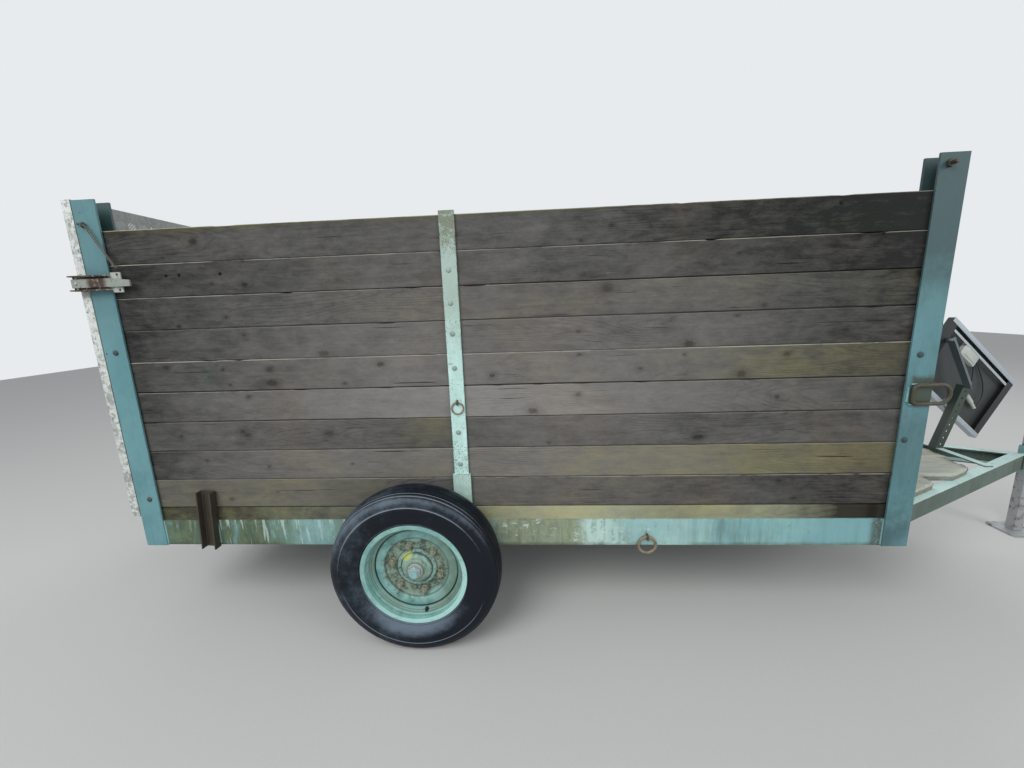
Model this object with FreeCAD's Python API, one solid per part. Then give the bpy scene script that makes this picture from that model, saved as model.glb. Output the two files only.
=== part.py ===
import FreeCAD, Part
import math
import os

# A single-axle farm trailer with a high plank body, sizes in millimetres.
# X runs forward, Y to the left and Z up. The ground is at Z = 0.
# While it is built, X starts at the body's rear end. Each piece is moved to the origin as it is saved.

V = FreeCAD.Vector

# Body sizes
body_length = 3300.0
body_width = 1380.0
board_pitch = 132.0
board_count = 9
board_gap = 0.8
board_thick = 48.0
slot_clear = 1.0
floor_thick = 60.0
floor_setback = 4.0
floor_plank_count = 9
floor_plank_gap = 0.8

# Corner posts, each a channel that holds the boards' ends
post_flange = 100.0
post_thick = 8.0
post_round = 5.0
post_rise = 117.0

# Side rails and cross members
rail_depth = 120.0
rail_flange = 55.0
rail_web = 7.0
rail_lip = 9.0
member_depth = 80.0
member_flange = 45.0
member_web = 6.0
member_lip = 8.0
member_xs = (820.0, 1300.0, 1780.0, 2520.0)
root_radius = 7.0
edge_radius = 2.0

# Stakes half way along the sides, each in a pocket on the rail
stake_x = 1479.0
stake_width = 60.0
stake_thick = 8.0
stake_rise = 12.0
pocket_top = 334.0
pocket_bottom = 18.0
pocket_wall = 6.0
pocket_cheek = 7.0
pocket_clear = 0.4
pocket_radius = 4.0

# Wheels and axle
axle_x = 1291.0
wheel_gap = 29.5
axle_square = 50.0
axle_collar_length = 36.0
axle_collar_rise = 5.0
spindle_radius = 20.0
spindle_thread_radius = 17.0
thread_inset = 4.0
thread_show = 4.0
gusset_reach = 110.0
gusset_thick = 8.0
gusset_lip = 10.0
gusset_toe = 12.0
gusset_outer_inset = 4.0
gusset_inner_inset = 8.0
tyre_radius = 352.0
tyre_width = 165.0
tyre_bead_inset = 6.0
tyre_seat_gap = 0.5
tyre_waist_height = 80.0
tyre_shoulder_drop = 26.0
tyre_shoulder_inset = 9.0
tyre_tread_inset = 34.0
rim_width = 130.0
rim_flange_radius = 219.0
rim_seat_radius = 203.0
rim_well_radius = 178.0
rim_well_width = 44.0
rim_slope = 16.0
rim_slope_inset = 3.0
rim_thick = 4.0
disc_thick = 6.0
disc_offset = 6.0
disc_face_radius = 128.0
disc_rise = 14.0
disc_slope = 12.0
disc_brow_round = 7.0
disc_lip = 18.0
disc_weld_gap = 2.0
disc_hole_clear = 0.8
disc_collar = 13.0
disc_collar_rise = 4.0
hub_bell_radius = 66.0
hub_bell_round = 10.0
hub_bell_step = 6.0
hub_nose_radius = 40.0
hub_bell_length = 25.0
hub_flange_radius = 116.0
hub_flange_thick = 10.0
hub_barrel_radius = 42.0
hub_barrel_length = 62.0
bolt_circle_radius = 102.5
wheel_bolt_count = 6
wheel_bolt_hole_radius = 9.5
wheel_bolt_turn = 44.0
bearing_clear = 0.08
hub_end_clear = 1.0
axle_nut_height = 22.0
axle_nut_radius = 27.0
nut_sides = 6
axle_washer_radius = 32.0
axle_washer_thick = 4.0
valve_hole_radius = 6.0
valve_x = 30.0
valve_from_well = 5.0

# Drawbar
drawbar_reach = 1210.0
drawbar_depth = 80.0
drawbar_flange = 50.0
drawbar_web = 6.0
drawbar_lip = 8.0
drawbar_tip = 60.0
nose_plate_thick = 10.0
nose_plate_edge = 6.0
nose_length = 300.0
nose_height = 60.0
nose_width = 50.0
eye_bore_radius = 20.0
eye_radius = 42.0
eye_thick = 30.0
eye_neck = 62.0
eye_neck_taper = 4.0
brace_back = 330.0
brace_width = 40.0
brace_thick = 6.0
brace_inset = 22.0

# Deck planks on the drawbar, and how far each one stops short of the brace
deck_thick = 38.0
deck_inset = 34.0
deck_plank_pitch = 230.0
deck_gap = 0.8
deck_shorts = (456.0, 144.0, 109.0, 128.0, 440.0)

# Parking leg
leg_x = 120.0
leg_side = 48.0
leg_wall = 4.0
leg_above = 190.0
sleeve_wall = 6.0
sleeve_clear = 0.6
sleeve_rise = 60.0
sleeve_drop = 90.0
foot_side = 160.0
foot_thick = 10.0
foot_round = 18.0

# Tailgate
gate_thick = 38.0
gate_clear = 5.0
gate_inset = 4.0
gate_bottom = 142.0
gate_rise = 5.0
gate_sheet = 3.0
gate_rib = 30.0
gate_rib_wall = 3.0
gate_cross_count = 4
hinge_ys = (-480.0, 0.0, 480.0)
hinge_drop = 22.0
hinge_radius = 16.0
hinge_pin_radius = 8.0
hinge_clear = 0.08
hinge_lug_thick = 8.0
hinge_eye_length = 50.0
hinge_side_clear = 1.0
hinge_lug_drop = 34.0
hinge_pin_head = 5.0
hinge_pin_flange = 4.0

# Tailgate latches
latch_z = 1168.0
latch_height = 60.0
latch_tab = 9.0
latch_plate = 5.0
latch_rear = 9.0
latch_front = 156.0
latch_trough_front = 112.0
latch_depth = 24.0
latch_side_clear = 5.0
latch_hole_radius = 5.0
latch_hole_inset = 15.0
latch_hole_edge = 9.0
lever_height = 34.0
lever_tip_height = 24.0
lever_thick = 8.0
lever_front = 204.0
lever_bend = 20.0
lever_bend_out = 8.0
lever_gap = 1.0
lever_pin_radius = 3.5
lever_pin_inset = 22.0
lever_round = 3.0

# Front uprights
upright_y = 300.0
upright_side = 50.0
upright_thick = 5.0
upright_root = 4.0

# Rings, links and small irons
stake_ring_z = 643.0
stake_ring_radius = 24.0
stake_ring_rod = 3.5
rail_ring_x = 2255.0
rail_ring_z = 40.0
rail_ring_radius = 36.0
rail_ring_rod = 6.0
staple_rod = 4.0
staple_bend = 5.2
seat_gap = 0.3
link_back = 11.0
link_z = 638.0
link_length = 132.0
link_height = 72.0
link_rear_bend = 18.0
link_front_bend = 34.0
link_rod = 7.5
lamp_iron_x = 318.0
lamp_iron_width = 66.0
lamp_iron_depth = 34.0
lamp_iron_thick = 6.0
lamp_iron_top = 264.0
lamp_iron_bottom = -4.0
lamp_iron_lean = 4.0
lamp_iron_root = 3.0
wire_rod = 2.0
wire_hook = 18.0
wire_reach = 12.0
wire_bend = 6.0
wire_eye_radius = 9.0
wire_eye_rod = 3.0
wire_eye_x = 48.0
wire_eye_z = 1388.0
wire_end_z = 1222.0
wire_end_x = 148.0

# Tilted panel on the drawbar, placed from the foot of its arm on the brace
panel_ahead = 163.0
panel_z = 508.0
panel_stand = 76.0
panel_long = 688.0
panel_short = 406.0
panel_turn = 36.0
panel_yaw = 15.0
panel_depth = 35.0
panel_rail_lip = 26.0
panel_end_lip = 50.0
panel_wall = 3.0
panel_sheet = 5.0
panel_sheet_inset = 1.0
panel_stay_from = 46.0
panel_stay_width = 14.0
arm_y = 84.0
arm_width = 42.0
arm_thick = 4.0
arm_foot_back = 4.0
arm_knee_ahead = 98.0
arm_knee_z = 490.0
arm_top_back = 34.0
arm_top_z = 760.0
arm_hole_radius = 5.0
arm_hole_pitch = 40.0
block_side = 26.0

# How far a cutting shape reaches past what it cuts
through = 1.0

# Heights and widths that follow
rail_bottom = tyre_radius + axle_square / 2
rail_top = rail_bottom + rail_depth
floor_top = rail_top + floor_thick
boards_top = floor_top + board_count * board_pitch
post_top = boards_top + post_rise
half_width = body_width / 2
post_inner = half_width - board_thick - slot_clear
post_back = post_inner - post_thick
post_outer = half_width + post_thick
rail_inner = half_width - rail_flange
drawbar_angle = math.atan2(rail_inner, drawbar_reach)
nose_x = body_length + drawbar_reach - drawbar_tip
tube_x = nose_x + nose_plate_thick
tube_end = tube_x + nose_length
eye_x = tube_end + eye_neck
nose_z = rail_top - drawbar_depth / 2
brace_x = nose_x - brace_back
arm_foot_x = brace_x - arm_foot_back
wheel_y = half_width + wheel_gap + tyre_width / 2
disc_face = wheel_y + disc_offset
hub_end = disc_face + hub_bell_length
flange_outer = disc_face - disc_thick
flange_inner = flange_outer - hub_flange_thick
hub_start = flange_inner - hub_barrel_length
axle_shoulder = hub_start - hub_end_clear
axle_square_reach = axle_shoulder - axle_collar_length
hinge_x = -gate_clear - gate_thick / 2
hinge_z = rail_bottom + gate_bottom - hinge_drop
gate_back = -gate_clear - gate_thick
gate_top = post_top + gate_rise
gate_low = rail_bottom + gate_bottom
gate_half = post_outer - gate_inset
rear_tip = gate_back - latch_rear
front_tip = eye_x + eye_radius
origin_x = (rear_tip + front_tip) / 2


def box(x0, x1, y0, y1, z0, z1):
    return Part.makeBox(x1 - x0, y1 - y0, z1 - z0, V(x0, y0, z0))


def outline(points, place):
    """A closed wire through corners (u, v, corner radius), put in space by place(u, v)."""
    edges = []
    joints = []
    count = len(points)
    for i in range(count):
        u, v, radius = points[i]
        corner = place(u, v)
        before = place(points[i - 1][0], points[i - 1][1])
        after = place(points[(i + 1) % count][0], points[(i + 1) % count][1])
        if radius <= 0:
            joints.append((corner, corner))
            continue
        back = (before - corner).normalize()
        ahead = (after - corner).normalize()
        half = back.getAngle(ahead) / 2
        run = radius / math.tan(half)
        middle = (back + ahead).normalize() * (radius / math.sin(half) - radius)
        start = corner + back * run
        end = corner + ahead * run
        edges.append(Part.Arc(start, corner + middle, end).toShape())
        joints.append((start, end))
    for i in range(count):
        start = joints[i][1]
        end = joints[(i + 1) % count][0]
        if (end - start).Length > 1e-6:
            edges.append(Part.LineSegment(start, end).toShape())
    return Part.Wire(Part.__sortEdges__(edges))


def prism(points, place, along):
    return Part.Face(outline(points, place)).extrude(along)


def plan(z):
    return lambda u, v: V(u, v, z)


def upright_plane(y):
    return lambda u, v: V(u, y, v)


def cross_plane(x):
    return lambda u, v: V(x, u, v)


def channel(depth, flange, web, lip):
    """Corners of a channel: u from the web's back to the flange tips, v from the bottom to the top."""
    tip = lip / 2
    return [(0, 0, 0), (flange, 0, 0), (flange, lip, tip), (web, lip, root_radius),
            (web, depth - lip, root_radius), (flange, depth - lip, tip), (flange, depth, 0), (0, depth, 0)]


def revolve(points, y):
    """Turn an outline of (distance along the axle, radius, corner radius) about the axle's line."""
    centre = V(axle_x, y, tyre_radius)
    face = Part.Face(outline(points, lambda u, v: centre + V(0, u, v)))
    return face.revolve(centre, V(0, 1, 0), 360)


def cylinder(radius, start, end):
    return Part.makeCylinder(radius, (end - start).Length, start, end - start)


def wheel_cylinder(radius, start, end, x=axle_x, z=tyre_radius):
    """A cylinder along Y on the right-hand side, from start to end outward of the middle."""
    return cylinder(radius, V(x, -start, z), V(x, -end, z))


def rod(points, bend, radius):
    """A round rod along straight runs joined by arcs of one bend radius."""
    edges = []
    start = points[0]
    for i in range(1, len(points) - 1):
        corner = points[i]
        back = (points[i - 1] - corner).normalize()
        ahead = (points[i + 1] - corner).normalize()
        half = back.getAngle(ahead) / 2
        run = bend / math.tan(half)
        middle = (back + ahead).normalize() * (bend / math.sin(half) - bend)
        edges.append(Part.LineSegment(start, corner + back * run).toShape())
        edges.append(Part.Arc(corner + back * run, corner + middle, corner + ahead * run).toShape())
        start = corner + ahead * run
    edges.append(Part.LineSegment(start, points[-1]).toShape())
    path = Part.Wire(edges)
    ring = Part.Wire(Part.makeCircle(radius, points[0], points[1] - points[0]))
    pipe = Part.BRepOffsetAPI.MakePipeShell(path)
    pipe.add(ring)
    pipe.build()
    pipe.makeSolid()
    return pipe.shape()


def mirrored(shape):
    return shape.mirror(V(0, 0, 0), V(0, 1, 0))


def save(name, shapes):
    shape = shapes[0] if len(shapes) == 1 else Part.makeCompound(shapes)
    placed = shape.copy()
    placed.translate(V(-origin_x, 0, 0))
    placed.exportStep("parts/" + name + ".step")


def save_pair(name, shapes):
    save(name + "_right", shapes)
    save(name + "_left", [mirrored(shape) for shape in shapes])


# Rails, with their webs outward
def rail():
    section = [(-half_width + u, rail_bottom + v, r)
               for u, v, r in channel(rail_depth, rail_flange, rail_web, rail_lip)]
    return prism(section, cross_plane(post_thick), V(body_length - 2 * post_thick, 0, 0))


# Cross members under the floor, level with the rails' tops
def cross_members():
    members = []
    for x in member_xs:
        section = [(x - member_web / 2 + u, rail_top - member_depth + v, r)
                   for u, v, r in channel(member_depth, member_flange, member_web, member_lip)]
        members.append(prism(section, upright_plane(-rail_inner), V(0, 2 * rail_inner, 0)))
    return members


# End members close the frame between the posts' webs
def end_member(x, forward):
    section = [(x + forward * u, rail_bottom + v, r)
               for u, v, r in channel(rail_depth, rail_flange, rail_web, rail_lip)]
    member = prism(section, upright_plane(-post_back), V(0, 2 * post_back, 0))
    for side in (-1, 1):
        low, high = sorted((side * rail_inner, side * half_width))
        member = member.cut(box(post_thick, body_length - post_thick, low, high, rail_bottom, rail_top))
    return member


# Floor planks along the body, between the posts' webs
def floor_planks():
    width = (body_width - 2 * floor_setback + floor_plank_gap) / floor_plank_count
    front = body_length - post_thick
    planks = []
    for i in range(floor_plank_count):
        y = -half_width + floor_setback + i * width
        planks.append(box(post_thick, front, y, y + width - floor_plank_gap, rail_top, floor_top))
    return planks


# Side boards, slotted into the corner posts
def side_boards():
    boards = []
    for i in range(board_count):
        z = floor_top + i * board_pitch + board_gap
        boards.append(box(post_thick, body_length - post_thick, -half_width, -half_width + board_thick,
                          z, z + board_pitch - board_gap))
    return boards


# Front boards between the front posts
def front_boards():
    boards = []
    reach = post_back - slot_clear / 2
    back = body_length - board_thick
    for i in range(board_count):
        z = floor_top + i * board_pitch + board_gap
        boards.append(box(back, body_length, -reach, reach, z, z + board_pitch - board_gap))
    return boards


# Angle irons up the front boards
def front_uprights():
    side = upright_side
    t = upright_thick
    section = [(0, 0, 0), (side, 0, 0), (side, t, edge_radius), (t, t, upright_root), (t, side, edge_radius),
               (0, side, 0)]
    irons = []
    foot = rail_top + deck_thick
    for half in (-1, 1):
        placed = [(body_length + u, half * (upright_y + v), r) for u, v, r in section]
        irons.append(prism(placed, plan(foot), V(0, 0, boards_top - foot)))
    return irons


# A corner post. Its inner flange stops on the floor, and its outer flange laps over the rail.
def corner_post(x, forward):
    inner = x + forward * post_thick
    far = x + forward * post_flange
    section = [(x, -post_outer, post_round), (far, -post_outer, 0), (far, -half_width, edge_radius),
               (inner, -half_width, 0), (inner, -post_inner, 0), (far, -post_inner, edge_radius),
               (far, -post_back, 0), (x, -post_back, post_round)]
    post = prism(section, plan(rail_bottom), V(0, 0, post_top - rail_bottom))
    notch = box(min(inner, far), max(inner, far), -half_width, -post_back + through, rail_bottom, floor_top)
    return post.cut(notch)


# A flat stake and its pocket
def stake():
    return box(stake_x - stake_width / 2, stake_x + stake_width / 2, -half_width - stake_thick, -half_width,
               rail_bottom + pocket_bottom + pocket_wall, boards_top + stake_rise)


def stake_pocket():
    inner = stake_width / 2 + pocket_clear
    outer = inner + pocket_cheek
    face = half_width + stake_thick + pocket_clear
    section = [(stake_x - outer, -half_width, 0), (stake_x - outer, -face - pocket_wall, pocket_radius),
               (stake_x + outer, -face - pocket_wall, pocket_radius), (stake_x + outer, -half_width, 0),
               (stake_x + inner, -half_width, 0), (stake_x + inner, -face, 0),
               (stake_x - inner, -face, 0), (stake_x - inner, -half_width, 0)]
    low = rail_bottom + pocket_bottom
    walls = prism(section, plan(low), V(0, 0, pocket_top - pocket_bottom))
    floor = box(stake_x - inner, stake_x + inner, -face, -half_width, low, low + pocket_wall)
    return walls.fuse(floor).removeSplitter()


# Axle beam with a turned spindle at each end
def axle():
    beam = box(axle_x - axle_square / 2, axle_x + axle_square / 2, -axle_square_reach, axle_square_reach,
               tyre_radius - axle_square / 2, tyre_radius + axle_square / 2)
    thread_start = hub_end - thread_inset
    tip = hub_end + hub_end_clear + axle_washer_thick + axle_nut_height + thread_show
    steps = ((spindle_radius + axle_collar_rise, axle_square_reach, axle_shoulder),
             (spindle_radius, axle_shoulder, thread_start),
             (spindle_thread_radius, thread_start, tip))
    for radius, start, end in steps:
        step = wheel_cylinder(radius, start, end)
        beam = beam.fuse([step, mirrored(step)])
    return beam


# Gussets stand the rail on the beam
def axle_gussets():
    plates = []
    low = rail_bottom - axle_square
    starts = (-half_width + gusset_outer_inset, -rail_inner - gusset_inner_inset - gusset_thick)
    for forward in (-1, 1):
        face = axle_x + forward * axle_square / 2
        tip = face + forward * gusset_reach
        shape = [(face, rail_bottom, 0), (tip, rail_bottom, 0), (tip, rail_bottom - gusset_lip, 0),
                 (face + forward * gusset_toe, low, 0), (face, low, 0)]
        for start in starts:
            plates.append(prism(shape, upright_plane(start), V(0, gusset_thick, 0)))
    return plates


# Washer and hexagon nut on the spindle's thread
def axle_nut():
    washer_start = hub_end + hub_end_clear
    nut_start = washer_start + axle_washer_thick
    nut_end = nut_start + axle_nut_height
    hole = wheel_cylinder(spindle_thread_radius, washer_start - through, nut_end + through)
    washer = wheel_cylinder(axle_washer_radius, washer_start, nut_start)
    corners = []
    for i in range(nut_sides):
        turn = 2 * math.pi * (i + 0.5) / nut_sides
        corners.append((axle_x + axle_nut_radius * math.cos(turn),
                        tyre_radius + axle_nut_radius * math.sin(turn), 0))
    nut = prism(corners, upright_plane(-nut_end), V(0, axle_nut_height, 0))
    return washer.fuse(nut).cut(hole)


def opposite(points):
    return [(-u, v) for u, v in reversed(points)]


# Tyre: filled down to the bead seats, with its beads inside the rim's flanges
def tyre():
    half = tyre_width / 2
    toe = rim_width / 2 - rim_thick - tyre_bead_inset
    foot = rim_seat_radius + tyre_seat_gap
    waist = foot + tyre_waist_height
    shoulder = tyre_radius - tyre_shoulder_drop
    side = [(toe, foot), (half, waist), (half - tyre_shoulder_inset, shoulder),
            (half - tyre_tread_inset, tyre_radius)]
    return revolve([(u - wheel_y, v, 0) for u, v in side + opposite(side)], 0)


# Drop-centre rim: flanges, bead seats and well as one rolled section, with the disc welded in
def rim():
    half = rim_width / 2
    t = rim_thick
    well = rim_well_width / 2
    brow = well + rim_slope
    seat = rim_seat_radius
    low = rim_well_radius
    tip = rim_flange_radius
    inset = rim_slope_inset
    outside = [(half, seat - t), (half, tip), (half - t, tip), (half - t, seat), (brow - inset, seat),
               (well - inset, low)]
    inside = [(brow, seat - t), (well, low - t)]
    section = inside[::-1] + outside + opposite(outside) + opposite(inside)[::-1]
    barrel = revolve([(u - wheel_y, v, 0) for u, v in section], 0)
    wheel = barrel.fuse(disc())
    for x, z in bolt_circle():
        wheel = wheel.cut(wheel_cylinder(wheel_bolt_hole_radius, flange_outer - through, disc_face + through,
                                         x, z))
    valve_z = tyre_radius - low - valve_from_well
    return wheel.cut(wheel_cylinder(valve_hole_radius, wheel_y, wheel_y + half, axle_x + valve_x, valve_z))


# Pressed disc: a raised collar round the hub, the bolting face, and a raised ring turned back to the rim's well
def disc():
    face = -disc_face
    back = face + disc_thick
    collar = face - disc_collar_rise
    ring = face - disc_rise
    brow = disc_face_radius + disc_slope
    edge = rim_well_radius - rim_thick - disc_weld_gap
    weld = rim_well_radius - rim_thick / 2
    lip = ring + disc_lip
    hole = hub_bell_radius + disc_hole_clear
    foot = hole + disc_collar + disc_collar_rise
    return revolve([(collar, hole, 0), (collar, hole + disc_collar, 0), (face, foot, 0),
                    (face, disc_face_radius, 0), (ring, brow, 0), (ring, edge, disc_brow_round),
                    (lip, edge, 0), (lip, weld, 0), (lip + disc_thick, weld, 0),
                    (lip + disc_thick, edge - disc_thick, 0), (ring + disc_thick, edge - disc_thick, 0),
                    (ring + disc_thick, brow, 0), (back, disc_face_radius, 0), (back, hole, 0)], 0)


# Centres of the wheel bolts
def bolt_circle():
    centres = []
    r = bolt_circle_radius
    for i in range(wheel_bolt_count):
        turn = 2 * math.pi * i / wheel_bolt_count + math.radians(wheel_bolt_turn)
        centres.append((axle_x + r * math.cos(turn), tyre_radius + r * math.sin(turn)))
    return centres


# Hub: inner barrel, bolting flange and outer bell
def hub():
    bore = spindle_radius + bearing_clear
    bell = hub_bell_radius
    step = -disc_face - hub_bell_step
    body = revolve([(-hub_end, bore, 0), (-hub_end, hub_nose_radius, 0), (step, bell, hub_bell_round),
                    (-flange_outer, bell, 0), (-flange_outer, hub_flange_radius, 0),
                    (-flange_inner, hub_flange_radius, 0), (-flange_inner, hub_barrel_radius, 0),
                    (-hub_start, hub_barrel_radius, 0), (-hub_start, bore, 0)], 0)
    inner = flange_inner - through
    outer = flange_outer + through
    for x, z in bolt_circle():
        body = body.cut(wheel_cylinder(wheel_bolt_hole_radius, inner, outer, x, z))
    return body


# One drawbar channel from the body's front to the nose plate, its web outward
def drawbar():
    spare = drawbar_flange / math.tan(drawbar_angle)
    length = drawbar_reach / math.cos(drawbar_angle) + 2 * spare
    along = V(math.cos(drawbar_angle), math.sin(drawbar_angle), 0)
    inward = V(-math.sin(drawbar_angle), math.cos(drawbar_angle), 0)
    corner = V(body_length, -rail_inner, 0) - along * spare
    section = channel(drawbar_depth, drawbar_flange, drawbar_web, drawbar_lip)

    def place(u, v):
        return corner + inward * u + V(0, 0, rail_top - drawbar_depth + v)

    bar = prism(section, place, along * length)
    keep = box(body_length, nose_x, -half_width, 0, rail_bottom, rail_top)
    return bar.common(keep)


# Nose plate, tube and eye in front of the two channels
def drawbar_nose():
    plate_half = drawbar_tip * math.tan(drawbar_angle) + nose_plate_edge
    plate = box(nose_x, tube_x, -plate_half, plate_half, rail_top - drawbar_depth, rail_top)
    half = nose_width / 2
    tube = box(tube_x, tube_end, -half, half, nose_z - nose_height / 2, nose_z + nose_height / 2)
    low = nose_z - eye_thick / 2
    slim = half - eye_neck_taper
    neck = [(tube_end, -half, 0), (eye_x, -slim, 0), (eye_x, slim, 0), (tube_end, half, 0)]
    shank = prism(neck, plan(low), V(0, 0, eye_thick))
    ring = cylinder(eye_radius, V(eye_x, 0, low), V(eye_x, 0, low + eye_thick))
    bore = cylinder(eye_bore_radius, V(eye_x, 0, low - through), V(eye_x, 0, low + eye_thick + through))
    return plate.fuse([tube, shank, ring]).cut(bore).removeSplitter()


# Flat brace across the two channels
def drawbar_brace():
    reach = (body_length + drawbar_reach - brace_x) * math.tan(drawbar_angle) - brace_inset
    half = brace_width / 2
    return box(brace_x - half, brace_x + half, -reach, reach, rail_top, rail_top + brace_thick)


# Deck planks on the drawbar, trimmed along its channels
def deck_planks():
    inset = deck_inset / math.cos(drawbar_angle)
    side = rail_inner - inset
    point = body_length + side / math.tan(drawbar_angle)
    triangle = prism([(body_length, -side, 0), (point, 0, 0), (body_length, side, 0)], plan(rail_top),
                     V(0, 0, deck_thick))
    first = -deck_plank_pitch * len(deck_shorts) / 2
    limit = brace_x - brace_width / 2
    planks = []
    for i, short in enumerate(deck_shorts):
        y = first + i * deck_plank_pitch
        far = y + deck_plank_pitch - deck_gap
        strip = box(body_length, limit - short, y, far, rail_top, rail_top + deck_thick)
        planks.append(strip.common(triangle))
    return planks


# Parking leg: a square tube on a foot plate, and the sleeve it slides in
def leg_place():
    x = tube_x + leg_x
    y = nose_width / 2 + sleeve_wall + sleeve_clear + leg_side / 2
    return x, y


def parking_leg():
    x, y = leg_place()
    half = leg_side / 2
    top = nose_z + nose_height / 2 + leg_above
    inner = half - leg_wall
    tube = box(x - half, x + half, y - half, y + half, foot_thick, top)
    tube = tube.cut(box(x - inner, x + inner, y - inner, y + inner, foot_thick, top - leg_wall))
    return tube


def leg_foot():
    x, y = leg_place()
    half = foot_side / 2
    corners = [(x + half * u, y + half * v, foot_round) for u, v in ((-1, -1), (1, -1), (1, 1), (-1, 1))]
    return prism(corners, plan(0), V(0, 0, foot_thick))


def leg_sleeve():
    x, y = leg_place()
    inner = leg_side / 2 + sleeve_clear
    outer = inner + sleeve_wall
    low = nose_z - sleeve_drop
    high = nose_z + sleeve_rise
    tube = box(x - outer, x + outer, y - outer, y + outer, low, high)
    tube = tube.cut(box(x - inner, x + inner, y - inner, y + inner, low - through, high + through))
    return tube


# Tailgate tray: tread plate inside, its four edges folded back
def gate_panel():
    front = -gate_clear
    outer = box(gate_back, front, -gate_half, gate_half, gate_low, gate_top)
    hollow = box(gate_back - through, front - gate_sheet, -gate_half + gate_sheet, gate_half - gate_sheet,
                 gate_low + gate_sheet, gate_top - gate_sheet)
    return outer.cut(hollow)


# Square tubes stiffen the tray: two uprights over the outer hinges and rails between them
def gate_ribs():
    back = -gate_clear - gate_sheet - gate_rib
    front = -gate_clear - gate_sheet
    low = gate_low + gate_sheet
    high = gate_top - gate_sheet
    wall = gate_rib_wall
    half = gate_rib / 2
    uprights = []
    bore = half - wall
    for y in (hinge_ys[0], hinge_ys[-1]):
        tube = box(back, front, y - half, y + half, low, high)
        inside = box(back + wall, front - wall, y - bore, y + bore, low - through, high + through)
        uprights.append(tube.cut(inside))
    spans = ((-gate_half + gate_sheet, hinge_ys[0] - half), (hinge_ys[0] + half, hinge_ys[-1] - half),
             (hinge_ys[-1] + half, gate_half - gate_sheet))
    rails = []
    for i in range(gate_cross_count):
        z = low + half + (high - low - gate_rib) * i / (gate_cross_count - 1)
        for start, end in spans:
            tube = box(back, front, start, end, z - half, z + half)
            inside = box(back + wall, front - wall, start - through, end + through, z - bore, z + bore)
            rails.append(tube.cut(inside))
    return uprights[0].fuse(uprights[1:] + rails).removeSplitter()


# Hinges: an eye under the gate between two lugs on the rear member
def hinge_eyes():
    eyes = []
    r = hinge_radius
    for y in hinge_ys:
        start = y - hinge_eye_length / 2
        end = y + hinge_eye_length / 2
        strap = box(hinge_x - r, hinge_x + r, start, end, hinge_z, gate_low)
        barrel = hinge_cylinder(r, start, end)
        hole = hinge_cylinder(hinge_pin_radius + hinge_clear, start - through, end + through)
        eyes.append(strap.fuse(barrel).cut(hole).removeSplitter())
    return eyes


def hinge_cylinder(radius, start, end):
    return cylinder(radius, V(hinge_x, start, hinge_z), V(hinge_x, end, hinge_z))


def hinge_lug_start():
    return hinge_eye_length / 2 + hinge_side_clear


def hinge_lugs():
    lugs = []
    r = hinge_radius
    shape = [(0, hinge_z - hinge_lug_drop, 0), (0, hinge_z, 0), (hinge_x, hinge_z + r, 0),
             (hinge_x, hinge_z - r, 0)]
    for y in hinge_ys:
        for start in (y - hinge_lug_start() - hinge_lug_thick, y + hinge_lug_start()):
            end = start + hinge_lug_thick
            arm = prism(shape, upright_plane(start), V(0, hinge_lug_thick, 0))
            nose = hinge_cylinder(r, start, end)
            hole = hinge_cylinder(hinge_pin_radius + hinge_clear, start - through, end + through)
            lugs.append(arm.fuse(nose).cut(hole).removeSplitter())
    return lugs


def hinge_pins():
    pins = []
    for y in hinge_ys:
        reach = hinge_lug_start() + hinge_lug_thick
        head = hinge_pin_radius + hinge_pin_flange
        shank = hinge_cylinder(hinge_pin_radius, y - reach, y + reach)
        ends = [hinge_cylinder(head, y + side * reach, y + side * (reach + hinge_pin_head)) for side in (-1, 1)]
        pins.append(shank.fuse(ends))
    return pins


# Latch: a trough welded to the gate's edge, reaching past the post
def latch_bracket():
    low = rail_bottom + latch_z - latch_height / 2
    high = low + latch_height
    back = post_outer + latch_side_clear
    plate = box(rear_tip, latch_front, -back - latch_plate, -back, low, high)
    tab = box(latch_trough_front, latch_front, -back - latch_plate, -back, low - latch_tab, high + latch_tab)
    plate = plate.fuse(tab)
    hole_x = latch_front - latch_hole_inset
    for z in (low - latch_tab + latch_hole_edge, high + latch_tab - latch_hole_edge):
        plate = plate.cut(cylinder(latch_hole_radius, V(hole_x, -back - latch_plate - through, z),
                                   V(hole_x, -back + through, z)))
    flanges = [box(rear_tip, latch_trough_front, -back - latch_depth, -back, z, z + latch_plate)
               for z in (low, high - latch_plate)]
    foot = box(gate_back, -gate_clear, -back, -gate_half, low, high)
    return plate.fuse(flanges + [foot]).removeSplitter()


# Lever between the trough's flanges, bent out at its free end
def latch_lever():
    back = post_outer + latch_side_clear + latch_plate + lever_gap
    front = back + lever_thick
    half = lever_height / 2
    middle = rail_bottom + latch_z
    bend = latch_trough_front + lever_bend
    out = lever_bend_out
    shape = [(rear_tip, -back, 0), (bend, -back, 0), (lever_front, -back - out, 0),
             (lever_front, -front - out, lever_round), (bend, -front, 0), (rear_tip, -front, lever_round)]
    bar = prism(shape, plan(middle - half), V(0, 0, lever_height))
    top = middle + half
    tip = lever_front + through
    slope = [(latch_trough_front, top, 0), (tip, top, 0), (tip, top + lever_tip_height - lever_height, 0)]
    taper = prism(slope, upright_plane(-front - out - through), V(0, lever_thick + out + 2 * through, 0))
    low = middle - latch_height / 2 + latch_plate
    pin_y = -(back + front) / 2
    pin = cylinder(lever_pin_radius, V(rear_tip + lever_pin_inset, pin_y, low),
                   V(rear_tip + lever_pin_inset, pin_y, low + latch_height - 2 * latch_plate))
    return bar.cut(taper).fuse(pin)


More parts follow.
